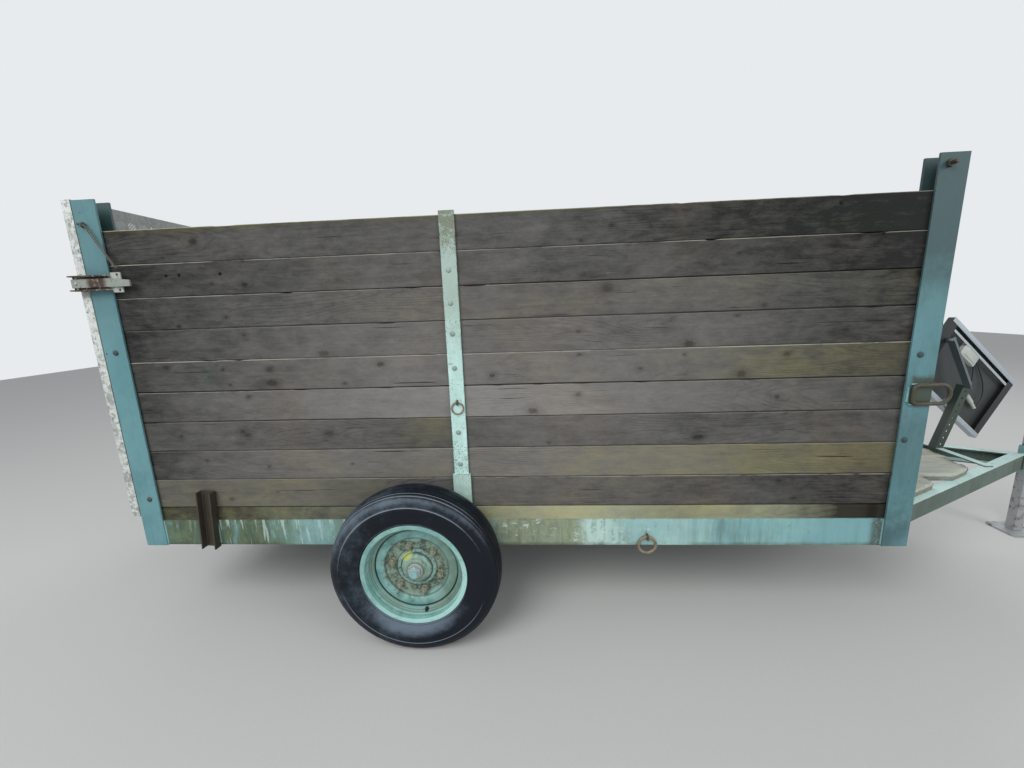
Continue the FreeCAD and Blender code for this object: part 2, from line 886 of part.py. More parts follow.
# Staple whose closing bar stands upright, and the ring that hangs in it
def staple_and_ring(x, height, face, ring_radius, ring_rod):
    z = rail_bottom + height
    centre_y = -(face + ring_rod + seat_gap)
    closing = face + 2 * ring_rod + 2 * seat_gap + staple_rod
    low = z - ring_rod - seat_gap - staple_rod
    high = z + ring_rod + 2 * seat_gap + staple_rod
    points = [V(x, -face, low), V(x, -closing, low), V(x, -closing, high), V(x, -face, high)]
    staple = rod(points, staple_bend, staple_rod)
    ring = Part.makeTorus(ring_radius, ring_rod, V(x, centre_y, z - ring_radius), V(0, 1, 0))
    return staple, ring


# Oblong link of round bar, welded flat on the front post
def corner_link():
    tall = link_height / 2
    z = rail_bottom + link_z
    rear = body_length - link_back - link_length / 2
    front = rear + link_length
    y = -(post_outer + link_rod + seat_gap)
    corners = [(rear, z - tall, link_rear_bend), (rear, z + tall, link_rear_bend),
               (front, z + tall, link_front_bend), (front, z - tall, link_front_bend)]
    path = outline(corners, upright_plane(y))
    start = path.Edges[0].Curve.value(path.Edges[0].FirstParameter)
    tangent = path.Edges[0].tangentAt(path.Edges[0].FirstParameter)
    pipe = Part.BRepOffsetAPI.MakePipeShell(path)
    pipe.add(Part.Wire(Part.makeCircle(link_rod, start, tangent)))
    pipe.build()
    pipe.makeSolid()
    return pipe.shape()


# Channel iron on the rail near the rear, its open side outward and a little out of plumb
def lamp_iron():
    half = lamp_iron_width / 2
    depth = lamp_iron_depth
    t = lamp_iron_thick
    tip = edge_radius
    root = lamp_iron_root
    section = [(-half, 0, 0), (half, 0, 0), (half, -depth, tip), (half - t, -depth, tip),
               (half - t, -t, root), (t - half, -t, root), (t - half, -depth, tip), (-half, -depth, tip)]
    low = rail_bottom + lamp_iron_bottom
    placed = [(lamp_iron_x + u, -half_width + v, r) for u, v, r in section]
    iron = prism(placed, plan(low), V(0, 0, lamp_iron_top - lamp_iron_bottom))
    iron.rotate(V(lamp_iron_x, -half_width, low), V(0, 1, 0), lamp_iron_lean)
    return iron


# Stiff wire hooked in an eye on the rear post
def wire_eye_centre():
    return V(wire_eye_x, -post_outer - wire_eye_radius - wire_eye_rod - seat_gap, rail_bottom + wire_eye_z)


def wire_eye():
    return Part.makeTorus(wire_eye_radius, wire_eye_rod, wire_eye_centre(), V(1, 0, 0))


def gate_wire():
    top = wire_eye_centre() - V(0, 0, wire_eye_radius - wire_eye_rod - wire_rod - seat_gap)
    end = V(wire_end_x, top.y, rail_bottom + wire_end_z)
    return rod([top - V(wire_hook, 0, 0), top + V(wire_reach, 0, 0), end], wire_bend, wire_rod)


# Framed panel on a folded arm of pierced angle iron
# Two long rails of angle, and a flat stay beside the upper one
def panel_rails():
    half_long = panel_long / 2
    h = panel_short / 2
    w = panel_wall
    lip = panel_rail_lip
    section = [(0, h, 0), (panel_depth, h, 0), (panel_depth, h - w, 0), (w, h - w, 0), (w, h - lip, 0),
               (0, h - lip, 0)]
    upper = prism(section, cross_plane(-half_long), V(panel_long, 0, 0))
    lower = upper.mirror(V(0, 0, 0), V(0, 0, 1))
    reach = half_long - panel_end_lip
    stay_top = h - panel_stay_from
    stay = box(-reach, reach, w, 2 * w, stay_top - panel_stay_width, stay_top)
    return [turn_panel(shape) for shape in (upper, lower, stay)]


# The two ends of the panel's frame, between its rails
def panel_ends():
    h = panel_short / 2 - panel_wall
    x = panel_long / 2
    w = panel_wall
    lip = panel_end_lip
    section = [(x, w, 0), (x, panel_depth, 0), (x - w, panel_depth, 0), (x - w, 2 * w, 0), (x - lip, 2 * w, 0),
               (x - lip, w, 0)]
    end = prism(section, plan(-h), V(0, 0, 2 * h))
    return [turn_panel(shape) for shape in (end, end.mirror(V(0, 0, 0), V(1, 0, 0)))]


def panel_back():
    w = panel_wall
    half_long = panel_long / 2 - w
    half_short = panel_short / 2 - w
    front = panel_depth - panel_sheet_inset
    return turn_panel(box(-half_long, half_long, front - panel_sheet, front, -half_short, half_short))


# The panel's own frame: its back at y = 0, its long sides along x
def turn_panel(shape):
    shape.rotate(V(0, 0, 0), V(0, 1, 0), panel_turn)
    shape.rotate(V(0, 0, 0), V(0, 0, 1), panel_yaw)
    shape.translate(V(arm_foot_x + panel_ahead, arm_y + panel_stand, rail_bottom + panel_z))
    return shape


def pierced_arm(start, end, side):
    """An angle iron from start to end with a row of holes, its flange turned to one side."""
    run = end - start
    length = run.Length
    t = arm_thick
    half = arm_width / 2
    bar = box(0, length, min(0, side * t), max(0, side * t), -half, half)
    flange = box(0, length, min(0, side * arm_width), max(0, side * arm_width), half - t, half)
    bar = bar.fuse(flange)
    count = int((length - arm_hole_pitch) // arm_hole_pitch) + 1
    first = (length - (count - 1) * arm_hole_pitch) / 2
    for i in range(count):
        x = first + i * arm_hole_pitch
        bar = bar.cut(cylinder(arm_hole_radius, V(x, -t - through, 0), V(x, t + through, 0)))
    bar = bar.removeSplitter()
    bar.rotate(V(0, 0, 0), V(0, 1, 0), -math.degrees(math.atan2(run.z, run.x)))
    bar.translate(start)
    return bar


def panel_arms():
    foot = V(arm_foot_x, arm_y, rail_top)
    knee = V(arm_foot_x + arm_knee_ahead, arm_y, rail_bottom + arm_knee_z)
    top = V(arm_foot_x - arm_top_back, arm_y, rail_bottom + arm_top_z)
    seat = rail_top + brace_thick
    below = box(foot.x - arm_width, foot.x + arm_width, arm_y, arm_y + arm_width, rail_bottom, seat)
    return pierced_arm(foot, knee, 1).cut(below), pierced_arm(knee, top, -1)


# Block that holds the panel's frame to the upper arm, cut flush with the frame's end
def panel_block():
    half = block_side / 2
    x = arm_foot_x - arm_top_back + half
    z = rail_bottom + arm_top_z - half
    block = box(x - half, x + half, arm_y, arm_y + panel_stand, z - half, z + half)
    beyond = turn_panel(box(-panel_long, panel_long, panel_wall, panel_long, -panel_long, panel_long))
    return block.cut(beyond)


os.makedirs("parts", exist_ok=True)

save_pair("rail", [rail()])
save("cross_members", cross_members())
save("rear_member", [end_member(0, 1)])
save("front_member", [end_member(body_length, -1)])
save("floor_planks", floor_planks())
save_pair("side_boards", side_boards())
save("front_boards", front_boards())
save("front_uprights", front_uprights())
save_pair("front_post", [corner_post(body_length, -1)])
save_pair("rear_post", [corner_post(0, 1)])
save_pair("stake", [stake()])
save_pair("stake_pocket", [stake_pocket()])
save("axle_beam", [axle()])
save("axle_gussets", axle_gussets() + [mirrored(shape) for shape in axle_gussets()])
save("axle_nuts", [axle_nut(), mirrored(axle_nut())])
save_pair("tyre", [tyre()])
save_pair("rim", [rim()])
save_pair("hub", [hub()])
save_pair("drawbar", [drawbar()])
save("drawbar_nose", [drawbar_nose()])
save("drawbar_brace", [drawbar_brace()])
save("deck_planks", deck_planks())
save("leg_tube", [parking_leg()])
save("leg_foot", [leg_foot()])
save("leg_sleeve", [leg_sleeve()])
save("gate_panel", [gate_panel()])
save("gate_ribs", [gate_ribs()])
save("hinge_eyes", hinge_eyes())
save("hinge_lugs", hinge_lugs())
save("hinge_pins", hinge_pins())
save_pair("latch_bracket", [latch_bracket()])
save_pair("latch_lever", [latch_lever()])
stake_staple, stake_ring = staple_and_ring(stake_x, stake_ring_z, post_outer, stake_ring_radius, stake_ring_rod)
rail_staple, rail_ring = staple_and_ring(rail_ring_x, rail_ring_z, half_width, rail_ring_radius, rail_ring_rod)
save("ring_staples", [stake_staple, mirrored(stake_staple), rail_staple, mirrored(rail_staple)])
save("lashing_rings", [stake_ring, mirrored(stake_ring), rail_ring, mirrored(rail_ring)])
save("corner_links", [corner_link(), mirrored(corner_link())])
save("lamp_irons", [lamp_iron(), mirrored(lamp_iron())])
save("gate_wire", [wire_eye(), gate_wire()])
save("panel_rails", panel_rails())
save("panel_ends", panel_ends())
save("panel_back", [panel_back()])
lower_arm, upper_arm = panel_arms()
save("panel_arm_lower", [lower_arm])
save("panel_arm_upper", [upper_arm, panel_block()])
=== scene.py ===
import math

import bpy
import numpy as np
from mathutils import Matrix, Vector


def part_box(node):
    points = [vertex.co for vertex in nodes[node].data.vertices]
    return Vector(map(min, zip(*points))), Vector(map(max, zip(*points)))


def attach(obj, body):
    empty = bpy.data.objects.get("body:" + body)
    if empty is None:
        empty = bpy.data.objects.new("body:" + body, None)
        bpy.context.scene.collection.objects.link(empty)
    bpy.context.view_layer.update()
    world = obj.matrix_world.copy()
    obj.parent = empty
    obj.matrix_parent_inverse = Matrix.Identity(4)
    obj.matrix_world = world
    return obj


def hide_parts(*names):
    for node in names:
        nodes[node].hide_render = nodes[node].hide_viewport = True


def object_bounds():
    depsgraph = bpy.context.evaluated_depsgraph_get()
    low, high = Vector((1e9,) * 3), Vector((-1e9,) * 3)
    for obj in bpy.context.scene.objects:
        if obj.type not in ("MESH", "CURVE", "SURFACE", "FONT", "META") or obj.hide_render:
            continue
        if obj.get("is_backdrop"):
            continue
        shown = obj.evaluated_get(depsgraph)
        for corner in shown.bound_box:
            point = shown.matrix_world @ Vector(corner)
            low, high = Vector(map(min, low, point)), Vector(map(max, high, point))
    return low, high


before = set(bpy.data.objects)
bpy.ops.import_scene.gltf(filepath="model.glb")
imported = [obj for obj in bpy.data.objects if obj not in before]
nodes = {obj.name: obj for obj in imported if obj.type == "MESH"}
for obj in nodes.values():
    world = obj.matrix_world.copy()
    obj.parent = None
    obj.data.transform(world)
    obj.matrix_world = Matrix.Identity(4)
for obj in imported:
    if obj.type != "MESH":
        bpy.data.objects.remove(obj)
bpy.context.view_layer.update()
print("frame loaded:", len(nodes), "nodes")


# Shader helpers
class Value:  # a shader socket that takes Python's operators
    def __init__(self, tree, socket):
        self.tree = tree
        self.socket = socket

    def use(self, operation, *others):
        return self.tree.add("Math", {"operation": operation}, self, *others)

    def __add__(self, other):
        return self.use("ADD", other)

    def __sub__(self, other):
        return self.use("SUBTRACT", other)

    def __rsub__(self, other):
        return self.tree.add("Math", {"operation": "SUBTRACT"}, other, self)

    def __mul__(self, other):
        return self.use("MULTIPLY", other)

    def __truediv__(self, other):
        return self.use("DIVIDE", other)

    def __abs__(self):
        return self.use("ABSOLUTE")

    def __or__(self, other):  # the larger of two masks
        return self.use("MAXIMUM", other)

    def other(self, name):  # another output of the same node
        return Value(self.tree, self.socket.node.outputs[name])

    __radd__ = __add__
    __rmul__ = __mul__


class Tree:  # a node tree that grows node by node
    def __init__(self, tree):
        self.nodes = tree.nodes
        self.links = tree.links

    # Any node: its type, its settings, then its sockets by position or by name
    def add(self, kind, settings, *inputs, out=0, **named):
        node = self.nodes.new("ShaderNode" + kind)
        for key, value in settings.items():
            setattr(node, key, value)
        for key, value in [*enumerate(inputs), *named.items()]:
            if value is not None:
                self.feed(node.inputs[key], value)
        return Value(self, node.outputs[out])

    def feed(self, socket, value):
        if isinstance(value, Value):
            self.links.new(value.socket, socket)
        else:
            socket.default_value = (*value, 1) if socket.type == "RGBA" else value


class Finish(Tree):  # one material, and the colour laid on it so far
    def __init__(self, name):
        self.material = bpy.data.materials.new(name)
        self.material.use_nodes = True
        super().__init__(self.material.node_tree)
        self.shader = self.nodes["Principled BSDF"]
        self.place = self.add("TexCoord", {}, out="Object")
        self.colour = None

    def at(self, scale=(1, 1, 1), shift=(0, 0, 0), of=None):
        return self.add("Mapping", {}, of or self.place, shift, None, scale)

    # Noise of this scale, or stretched by three scales, of the object's own place or of another
    def noise(self, scale, detail=4, rough=0.55, twist=0, place=None):
        if isinstance(scale, tuple):
            place, scale = self.at(scale, of=place), 1.0
        return self.add("TexNoise", {}, Vector=place or self.place, Scale=scale, Detail=detail,
                        Roughness=rough, Distortion=twist)

    def spots(self, low, high, *noise, **more):  # where a noise is above low, whole from high on
        return self.step(self.noise(*noise, **more), low, high)

    def own(self, name):  # a value kept on the mesh's points
        return self.add("Attribute", {"attribute_name": name}, out="Fac")

    def step(self, value, low, high):  # 0 below low, 1 above high, smooth between
        return self.add("MapRange", {"interpolation_type": "SMOOTHSTEP"}, value, low, high)

    def band(self, value, low, high, soft):  # 1 between low and high, fading over soft on either side
        return self.step(value, low - soft, low + soft) * (1 - self.step(value, high - soft, high + soft))

    def mix(self, share, first, second, mode="MIX"):
        mixed = self.add("Mix", {"data_type": "RGBA", "blend_type": mode}, share, out=2)
        sockets = mixed.socket.node.inputs
        self.feed(sockets[6], first)
        self.feed(sockets[7], second)
        return mixed

    def coat(self, share, colour, mode="MIX"):  # lays a colour over what is there
        self.colour = self.mix(share, self.colour, colour, mode)

    def axes(self, place=None):
        split = self.add("SeparateXYZ", {}, place or self.place)
        return split, split.other("Y"), split.other("Z")

    def join(self, x, y, z):
        return self.add("CombineXYZ", {}, x, y, z)

    def facing(self):  # how far the surface looks along each axis
        return self.axes(self.add("NewGeometry", {}, out="Normal"))

    # 1 at the outer edges of the mesh within reach metres, 0 on its flats
    def edges(self, reach):
        bevel = self.add("Bevel", {"samples": 4}, reach)
        flat = self.add("NewGeometry", {}, out="Normal")
        alike = self.add("VectorMath", {"operation": "DOT_PRODUCT"}, bevel, flat, out="Value")
        return self.step(1 - alike, 0.01, 0.16)

    def done(self, roughness, height=None, depth=0.001, metal=0.0, gloss=0.5):
        for name, value in (("Base Color", self.colour), ("Roughness", roughness), ("Metallic", metal)):
            self.feed(self.shader.inputs[name], value)
        self.shader.inputs["Specular IOR Level"].default_value = gloss
        if height is not None:
            self.feed(self.shader.inputs["Normal"], self.add("Bump", {}, Height=height, Distance=depth))
        return self.material


def shaded(colour, by):
    return tuple(c * by for c in colour)


# Camera, light and floor
cameraLook = {"focalPixels": 406.9, "pictureWidth": 1024, "sensor": 36.0, "spot": (-0.6014, -2.2932, 1.4008),
              "yaw": -3.604, "pitch": 10.958, "roll": 2.018}


def makeCamera(look):
    data = bpy.data.cameras.new("photoCamera")
    data.sensor_width = look["sensor"]
    data.lens = look["focalPixels"] * look["sensor"] / look["pictureWidth"]
    data.clip_start = 0.05
    yaw, pitch, roll = (math.radians(look[key]) for key in ("yaw", "pitch", "roll"))
    ahead = np.array([math.sin(yaw) * math.cos(pitch), math.cos(yaw) * math.cos(pitch), -math.sin(pitch)])
    right = np.array([math.cos(yaw), -math.sin(yaw), 0.0])
    down = np.cross(ahead, right)
    turnedRight = math.cos(roll) * right + math.sin(roll) * down
    turnedDown = -math.sin(roll) * right + math.cos(roll) * down
    camera = bpy.data.objects.new("photoCamera", data)
    rotation = Matrix(np.array([turnedRight, -turnedDown, -ahead]).T.tolist()).to_4x4()
    camera.matrix_world = Matrix.Translation(look["spot"]) @ rotation
    bpy.context.scene.collection.objects.link(camera)
    bpy.context.scene.camera = camera


makeCamera(cameraLook)

studio = {"world": (0.86, 0.89, 0.92), "worldPower": 0.46, "backdrop": (0.80, 0.83, 0.85),
          "floor": (0.62, 0.62, 0.61), "halfFloor": 14.0}
# name: place, point it aims at, size, watts
lamps = {"keyLamp": ((-3.2, -5.2, 5.6), (-0.4, 0, 0.8), 4.5, 265),
         "fillLamp": ((4.8, -4.6, 3.6), (0.2, 0, 0.8), 4.0, 112),
         "backLamp": ((1.5, 6.0, 5.0), (0, 0, 0.9), 4.5, 150)}


def makeStudio(look):
    for name, (spot, aim, size, power) in lamps.items():
        data = bpy.data.lights.new(name, "AREA")
        data.shape = "DISK"
        data.size = size
        data.energy = power
        lamp = bpy.data.objects.new(name, data)
        lamp.location = spot
        towards = Matrix.Translation(aim).to_translation() - lamp.location
        lamp.rotation_mode = "QUATERNION"
        lamp.rotation_quaternion = towards.to_track_quat("-Z", "Y")
        bpy.context.scene.collection.objects.link(lamp)
    world = bpy.data.worlds.new("studioWorld")
    bpy.context.scene.world = world
    world.use_nodes = True
    sky = Tree(world.node_tree)
    light = sky.nodes["Background"]
    sky.feed(light.inputs["Color"], look["world"])
    sky.feed(light.inputs["Strength"], look["worldPower"])
    seen = sky.add("Background", {}, look["backdrop"])
    rays = sky.add("LightPath", {}, out="Is Camera Ray")
    shown = rays | rays.other("Is Glossy Ray") | rays.other("Is Transmission Ray")
    mixed = sky.add("MixShader", {}, shown, Value(sky, light.outputs[0]), seen)
    sky.feed(sky.nodes["World Output"].inputs["Surface"], mixed)
    finish = Finish("floorFinish")
    speckle = finish.noise(90, 2)
    finish.colour = finish.mix(speckle, look["floor"], shaded(look["floor"], 1.06))
    material = finish.done(0.9)
    half = look["halfFloor"]
    mesh = bpy.data.meshes.new("studioFloor")
    corners = [(-half, -half, 0), (half, -half, 0), (half, half, 0), (-half, half, 0)]
    mesh.from_pydata(corners, [], [(0, 1, 2, 3)])
    mesh.materials.append(material)
    floor = bpy.data.objects.new("studioFloor", mesh)
    bpy.context.scene.collection.objects.link(floor)
    floor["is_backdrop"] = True


makeStudio(studio)
bpy.context.scene.view_settings.view_transform = "Standard"
print("camera, lamps and floor made")


# Mesh helpers
class Shape:  # gathers grids of points into one mesh, with values kept on the points
    def __init__(self):
        self.points = []
        self.faces = []
        self.values = []
        self.count = 0

    # A grid of points (rows, columns, 3). roundly joins the last column to the first, and ring the last row
    # too. ends closes the first and last rows, each with one face. The faces are turned outwards by the
    # signed volume.
    def grid(self, points, roundly=True, ends=True, ring=False, **values):
        rows, columns = points.shape[:2]
        index = np.arange(rows * columns).reshape(rows, columns)
        base = index if roundly else index[:, :-1]
        across = np.roll(index, -1, 1) if roundly else index[:, 1:]
        if ring:
            quads = np.stack([base, across, np.roll(across, -1, 0), np.roll(base, -1, 0)], -1).reshape(-1, 4)
        else:
            quads = np.stack([base[:-1], across[:-1], across[1:], base[1:]], -1).reshape(-1, 4)
        flat = points.reshape(-1, 3)
        corners = flat[quads] - flat.mean(0)
        twist = np.cross(corners[:, 2] - corners[:, 0], corners[:, 3] - corners[:, 1])
        outward = np.einsum("ij,ij->", twist, corners.mean(1)) > 0
        caps = [index[0, ::-1], index[-1]] if ends and not ring else []
        if not outward:
            quads = quads[:, ::-1]
            caps = [cap[::-1] for cap in caps]
        self.faces.append(quads + self.count)
        self.faces += [cap[None, :] + self.count for cap in caps]
        self.points.append(flat)
        size = (rows, columns)
        self.values.append({name: np.broadcast_to(value, size).ravel() for name, value in values.items()})
        self.count += len(flat)
        return self

    def copies(self, places):  # the same shape again at each place of an (n, 3) array
        points = np.concatenate(self.points)
        places = np.asarray(places, float)
        self.points = [(points[None] + places[:, None]).reshape(-1, 3)]
        shifts = np.arange(len(places)) * len(points)
        self.faces = [(f[None] + shifts[:, None, None]).reshape(-1, f.shape[1]) for f in self.faces]
        self.values = []
        self.count = len(points) * len(places)
        return self

    def turned(self, matrix, centre=(0, 0, 0)):
        centre = np.asarray(centre)
        self.points = [(p - centre) @ np.asarray(matrix).T + centre for p in self.points]
        if np.linalg.det(matrix) < 0:
            self.faces = [f[:, ::-1] for f in self.faces]
        return self

    def moved(self, by):
        self.points = [p + np.asarray(by) for p in self.points]
        return self

    def plus(self, other):
        self.points += other.points
        self.faces += [f + self.count for f in other.faces]
        self.values += other.values
        self.count += other.count
        return self

    def mirrored(self):
        return Shape().plus(self).turned(np.diag([1, -1, 1]))

    def both(self):  # with its mirror image on the other side
        return self.plus(self.mirrored())

    def make(self, name, finish, body, slot=None, replaces=(), smooth=35):
        mesh = bpy.data.meshes.new(name)
        points = np.concatenate(self.points).astype(np.float32)
        loops = np.concatenate([f.ravel() for f in self.faces]).astype(np.int32)
        sizes = np.concatenate([np.full(len(f), f.shape[1]) for f in self.faces]).astype(np.int32)
        starts = np.concatenate([[0], np.cumsum(sizes)[:-1]]).astype(np.int32)
        mesh.vertices.add(len(points))
        mesh.vertices.foreach_set("co", points.ravel())
        mesh.loops.add(len(loops))
        mesh.loops.foreach_set("vertex_index", loops)
        mesh.polygons.add(len(sizes))
        mesh.polygons.foreach_set("loop_start", starts)
        mesh.polygons.foreach_set("loop_total", sizes)
        mesh.update(calc_edges=True)
        mesh.validate()
        for key in self.values[0] if self.values else ():
            kept = mesh.attributes.new(key, "FLOAT", "POINT")
            kept.data.foreach_set("value", np.concatenate([v[key] for v in self.values]).astype(np.float32))
        mesh.materials.append(finish)
        mesh.shade_smooth()
        mesh.set_sharp_from_angle(angle=math.radians(smooth))
        piece = bpy.data.objects.new(name, mesh)
        bpy.context.scene.collection.objects.link(piece)
        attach(piece, body)
        if replaces:
            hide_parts(*replaces)
        return piece


# Lowest and highest corners of a CAD node
def span(node):
    low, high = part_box(node)
    return np.array(low), np.array(high)


# Sum of a few sines of rising pitch with random phases, between 0 and 1
def waver(t, source, lowest, count=5):
    total = np.zeros_like(t)
    weight = 0
    for k in range(count):
        share = 0.62 ** k
        total = total + share * np.sin(t * lowest * 1.83 ** k * 2 * math.pi + source.uniform(0, 2 * math.pi))
        weight += share
    return total / weight / 2 + 0.5


# An axis with unit vectors square to it at evenly spaced angles: cos(angle) side + sin(angle) other
def spokes(axis, count):
    axis = np.asarray(axis, float)
    side = np.cross(axis, (0, 0, 1) if abs(axis[2]) < 0.9 else (1, 0, 0))
    side /= np.linalg.norm(side)
    angle = np.linspace(0, 2 * math.pi, count, endpoint=False)
    return axis, angle, np.cos(angle)[:, None] * side + np.sin(angle)[:, None] * np.cross(axis, side)


# A closed outline of (along, radius, rounding). Each corner c becomes the curve (1-t)^2 a + 2t(1-t) c + t^2
# b, where a and b lie on its two sides at the rounding's distance.
def rounded(corners, count=5):
    corners = np.asarray(corners, float)
    spot, reach = corners[:, :2], corners[:, 2:]
    before, after = np.roll(spot, 1, 0) - spot, np.roll(spot, -1, 0) - spot
    start = spot + before / np.linalg.norm(before, axis=1, keepdims=True) * reach
    end = spot + after / np.linalg.norm(after, axis=1, keepdims=True) * reach
    t = np.linspace(0, 1, count)[None, :, None]
    start, spot, end = start[:, None], spot[:, None], end[:, None]
    return ((1 - t) ** 2 * start + 2 * t * (1 - t) * spot + t ** 2 * end).reshape(-1, 2)


# A profile of (distance along the axis, radius) turned about an axis through centre. ring closes the profile.
def lathe(profile, centre, axis, around=32, ring=False):
    profile = np.asarray(profile, float)
    axis, _, rim = spokes(axis, around)
    points = np.asarray(centre) + profile[:, 0, None, None] * axis + profile[:, 1, None, None] * rim
    return Shape().grid(points, ring=ring)


# A hexagon head: at each height the radius is the lesser of the hexagon's and of a cone's that chamfers its
# corners
def hexHead(centre, axis, across, height, around=48):
    axis, angle, rim = spokes(axis, around)
    flat = across / 2 / np.cos((angle + math.pi / 6) % (math.pi / 3) - math.pi / 6)
    levels = np.array([0, 0.12, 0.85, 0.95, 1.0])
    cone = across * np.array([0.535, 0.58, 0.58, 0.535, 0.49])
    radius = np.minimum(flat[None], cone[:, None])
    points = np.asarray(centre) + (levels * height)[:, None, None] * axis + radius[..., None] * rim[None]
    return Shape().grid(points)


# A dome head: a quarter ellipse of height against radius, on a thin foot
def domeHead(centre, axis, radius, height, around=20):
    rise = np.linspace(0, math.pi / 2, 6)
    tall, wide = height * (0.12 + 0.88 * np.sin(rise)), radius * np.maximum(np.cos(rise), 0.02)
    return lathe([(0, radius), *zip(tall, wide)], centre, axis, around)


# Round stock along a line of points, its radius a function of the distance walked
def along(points, radius, step, around=8):
    points = np.asarray(points, float)
    walked = np.concatenate([[0], np.cumsum(np.linalg.norm(np.diff(points, axis=0), axis=1))])
    t = np.linspace(0, walked[-1], max(int(walked[-1] / step), 8))
    spine = np.stack([np.interp(t, walked, points[:, i]) for i in range(3)], 1)
    ahead = np.gradient(spine, axis=0)
    ahead /= np.linalg.norm(ahead, axis=1, keepdims=True)
    side = np.cross(ahead, (0.31, 0.52, 0.79))
    side /= np.linalg.norm(side, axis=1, keepdims=True)
    other = np.cross(ahead, side)
    angle = np.linspace(0, 2 * math.pi, around, endpoint=False)
    rim = np.cos(angle)[None, :, None] * side[:, None] + np.sin(angle)[None, :, None] * other[:, None]
    size = radius(t, walked[-1]) if callable(radius) else np.full_like(t, radius)
    return Shape().grid(spine[:, None] + size[:, None, None] * rim)


# A weld bead: its radius is r (0.82 + 0.18 |sin(pi t / ripple)|), tapered at both ends
def weldBead(points, radius, ripple=0.007):
    def size(t, whole):
        swell = radius * (0.82 + 0.18 * np.abs(np.sin(t / ripple * math.pi)))
        return swell * np.clip(np.minimum(t, whole - t) / radius + 0.35, 0.35, 1)
    return along(points, size, ripple / 4)


# Finishes
rust = {"dark": (0.032, 0.015, 0.010), "light": (0.135, 0.060, 0.030)}


# Rust colour: two browns by two noises
def rustColour(finish):
    cloud = finish.noise(38, 6, 0.7)
    fine = finish.noise(260, 4, 0.7)
    return finish.mix(finish.step(cloud * 0.7 + fine * 0.3, 0.36, 0.64), rust["dark"], rust["light"]), fine


paints = {
    "mintPaint": {"fresh": (0.240, 0.460, 0.480), "faded": (0.340, 0.580, 0.550),
                  "grime": (0.055, 0.072, 0.040), "chips": 0.690, "edgeWear": 0.6, "grimeShare": 0.50,
                  "runs": 1.0, "lichen": 0.15},
    "rearPostPaint": {"fresh": (0.106, 0.260, 0.288), "faded": (0.143, 0.323, 0.350),
                      "grime": (0.050, 0.080, 0.080), "chips": 0.730, "edgeWear": 0.45, "grimeShare": 0.35,
                      "runs": 0.5, "lichen": 0.10},
    "frontPostPaint": {"fresh": (0.082, 0.205, 0.228), "faded": (0.118, 0.272, 0.298),
                       "grime": (0.040, 0.075, 0.075), "chips": 0.730, "edgeWear": 0.45, "grimeShare": 0.45,
                       "runs": 0.6, "lichen": 0.15},
    "boltPaint": {"fresh": (0.022, 0.044, 0.047), "faded": (0.042, 0.078, 0.080),
                  "grime": (0.018, 0.022, 0.018), "chips": 0.640, "edgeWear": 0.8, "grimeShare": 0.6,
                  "runs": 0.5, "lichen": 0.2},
    "paleBoltPaint": {"fresh": (0.240, 0.320, 0.285), "faded": (0.340, 0.440, 0.400),
                      "grime": (0.110, 0.120, 0.085), "chips": 0.640, "edgeWear": 0.8, "grimeShare": 0.5,
                      "runs": 0.5, "lichen": 0.4},
    "paleMintPaint": {"fresh": (0.430, 0.620, 0.540), "faded": (0.580, 0.800, 0.730),
                      "grime": (0.130, 0.150, 0.095), "chips": 0.690, "edgeWear": 0.9, "grimeShare": 0.50,
                      "runs": 0.6, "lichen": 0.8},
    # The drawbar's top colour is painted light on its upward faces
    "drawbarPaint": {"fresh": (0.070, 0.106, 0.088), "faded": (0.116, 0.166, 0.138),
                     "grime": (0.038, 0.034, 0.022), "chips": 0.66, "edgeWear": 0.5, "grimeShare": 0.70,
                     "runs": 0.9, "lichen": 0.2, "top": (0.680, 0.920, 0.870)},
}


# Brushed paint on steel: fades in clouds, gets painted light on faces that look up, grows algae in runs down
# its sides, chips to rust and wears at its edges
def paintedSteel(name, look, extra=None):
    finish = Finish(name)
    up = finish.facing()[2]
    cloud = finish.noise(5.5, 5, 0.6)
    brushed = finish.noise(3, 3, place=finish.at((40, 40, 4)))
    fading = finish.step(cloud * 0.8 + brushed * 0.2, 0.38, 0.62)
    finish.colour = finish.mix(fading, look["fresh"], look["faded"])
    # Faces that look up get a lighter colour: painted light from the sky
    top = finish.step(up, 0.55, 0.9)
    finish.coat(top * (0.9 if "top" in look else 0.4), look.get("top", shaded(look["faded"], 1.25)))
    runs = finish.noise(1.6, 5, 0.65, place=finish.at((26, 26, 2.2)))
    patch = finish.noise(2.1, 4, 0.6)
    grime = finish.step(runs * look["runs"] * 0.55 + patch * 0.75, 0.60, 0.86) * look["grimeShare"]
    grime = grime * (1 - top * 0.6)
    finish.coat(grime, look["grime"])
    if extra:
        extra(finish, patch)
    spots = finish.add("TexVoronoi", {"feature": "F1"}, finish.place, None, 115.0)
    spotShare = finish.noise(7, 4, 0.6)
    lichen = (1 - finish.step(spots, 0.16, 0.34)) * finish.step(spotShare, 0.46, 0.62) * look["lichen"]
    finish.coat(lichen, (0.060, 0.068, 0.045))
    scuff = finish.noise(31, 6, 0.72)
    worn = finish.edges(0.006) * finish.step(scuff, 0.44, 0.60) * look["edgeWear"]
    wear = scuff * 0.75 + cloud * 0.30
    bare = worn | finish.step(wear, look["chips"], look["chips"] + 0.03)
    rusty, fine = rustColour(finish)
    finish.coat(finish.step(wear, look["chips"] - 0.05, look["chips"] + 0.02) * 0.45, (0.16, 0.10, 0.045))
    finish.coat(bare, rusty)
    rough = 0.50 + cloud * 0.14 + bare * 0.25 + grime * 0.2
    height = brushed * 0.12 - bare * 0.9 + fine * bare * 0.8 + lichen * 0.4
    return finish.done(rough, height, 0.0009)


paint = {name: paintedSteel(name, look) for name, look in paints.items() if "Post" not in name}

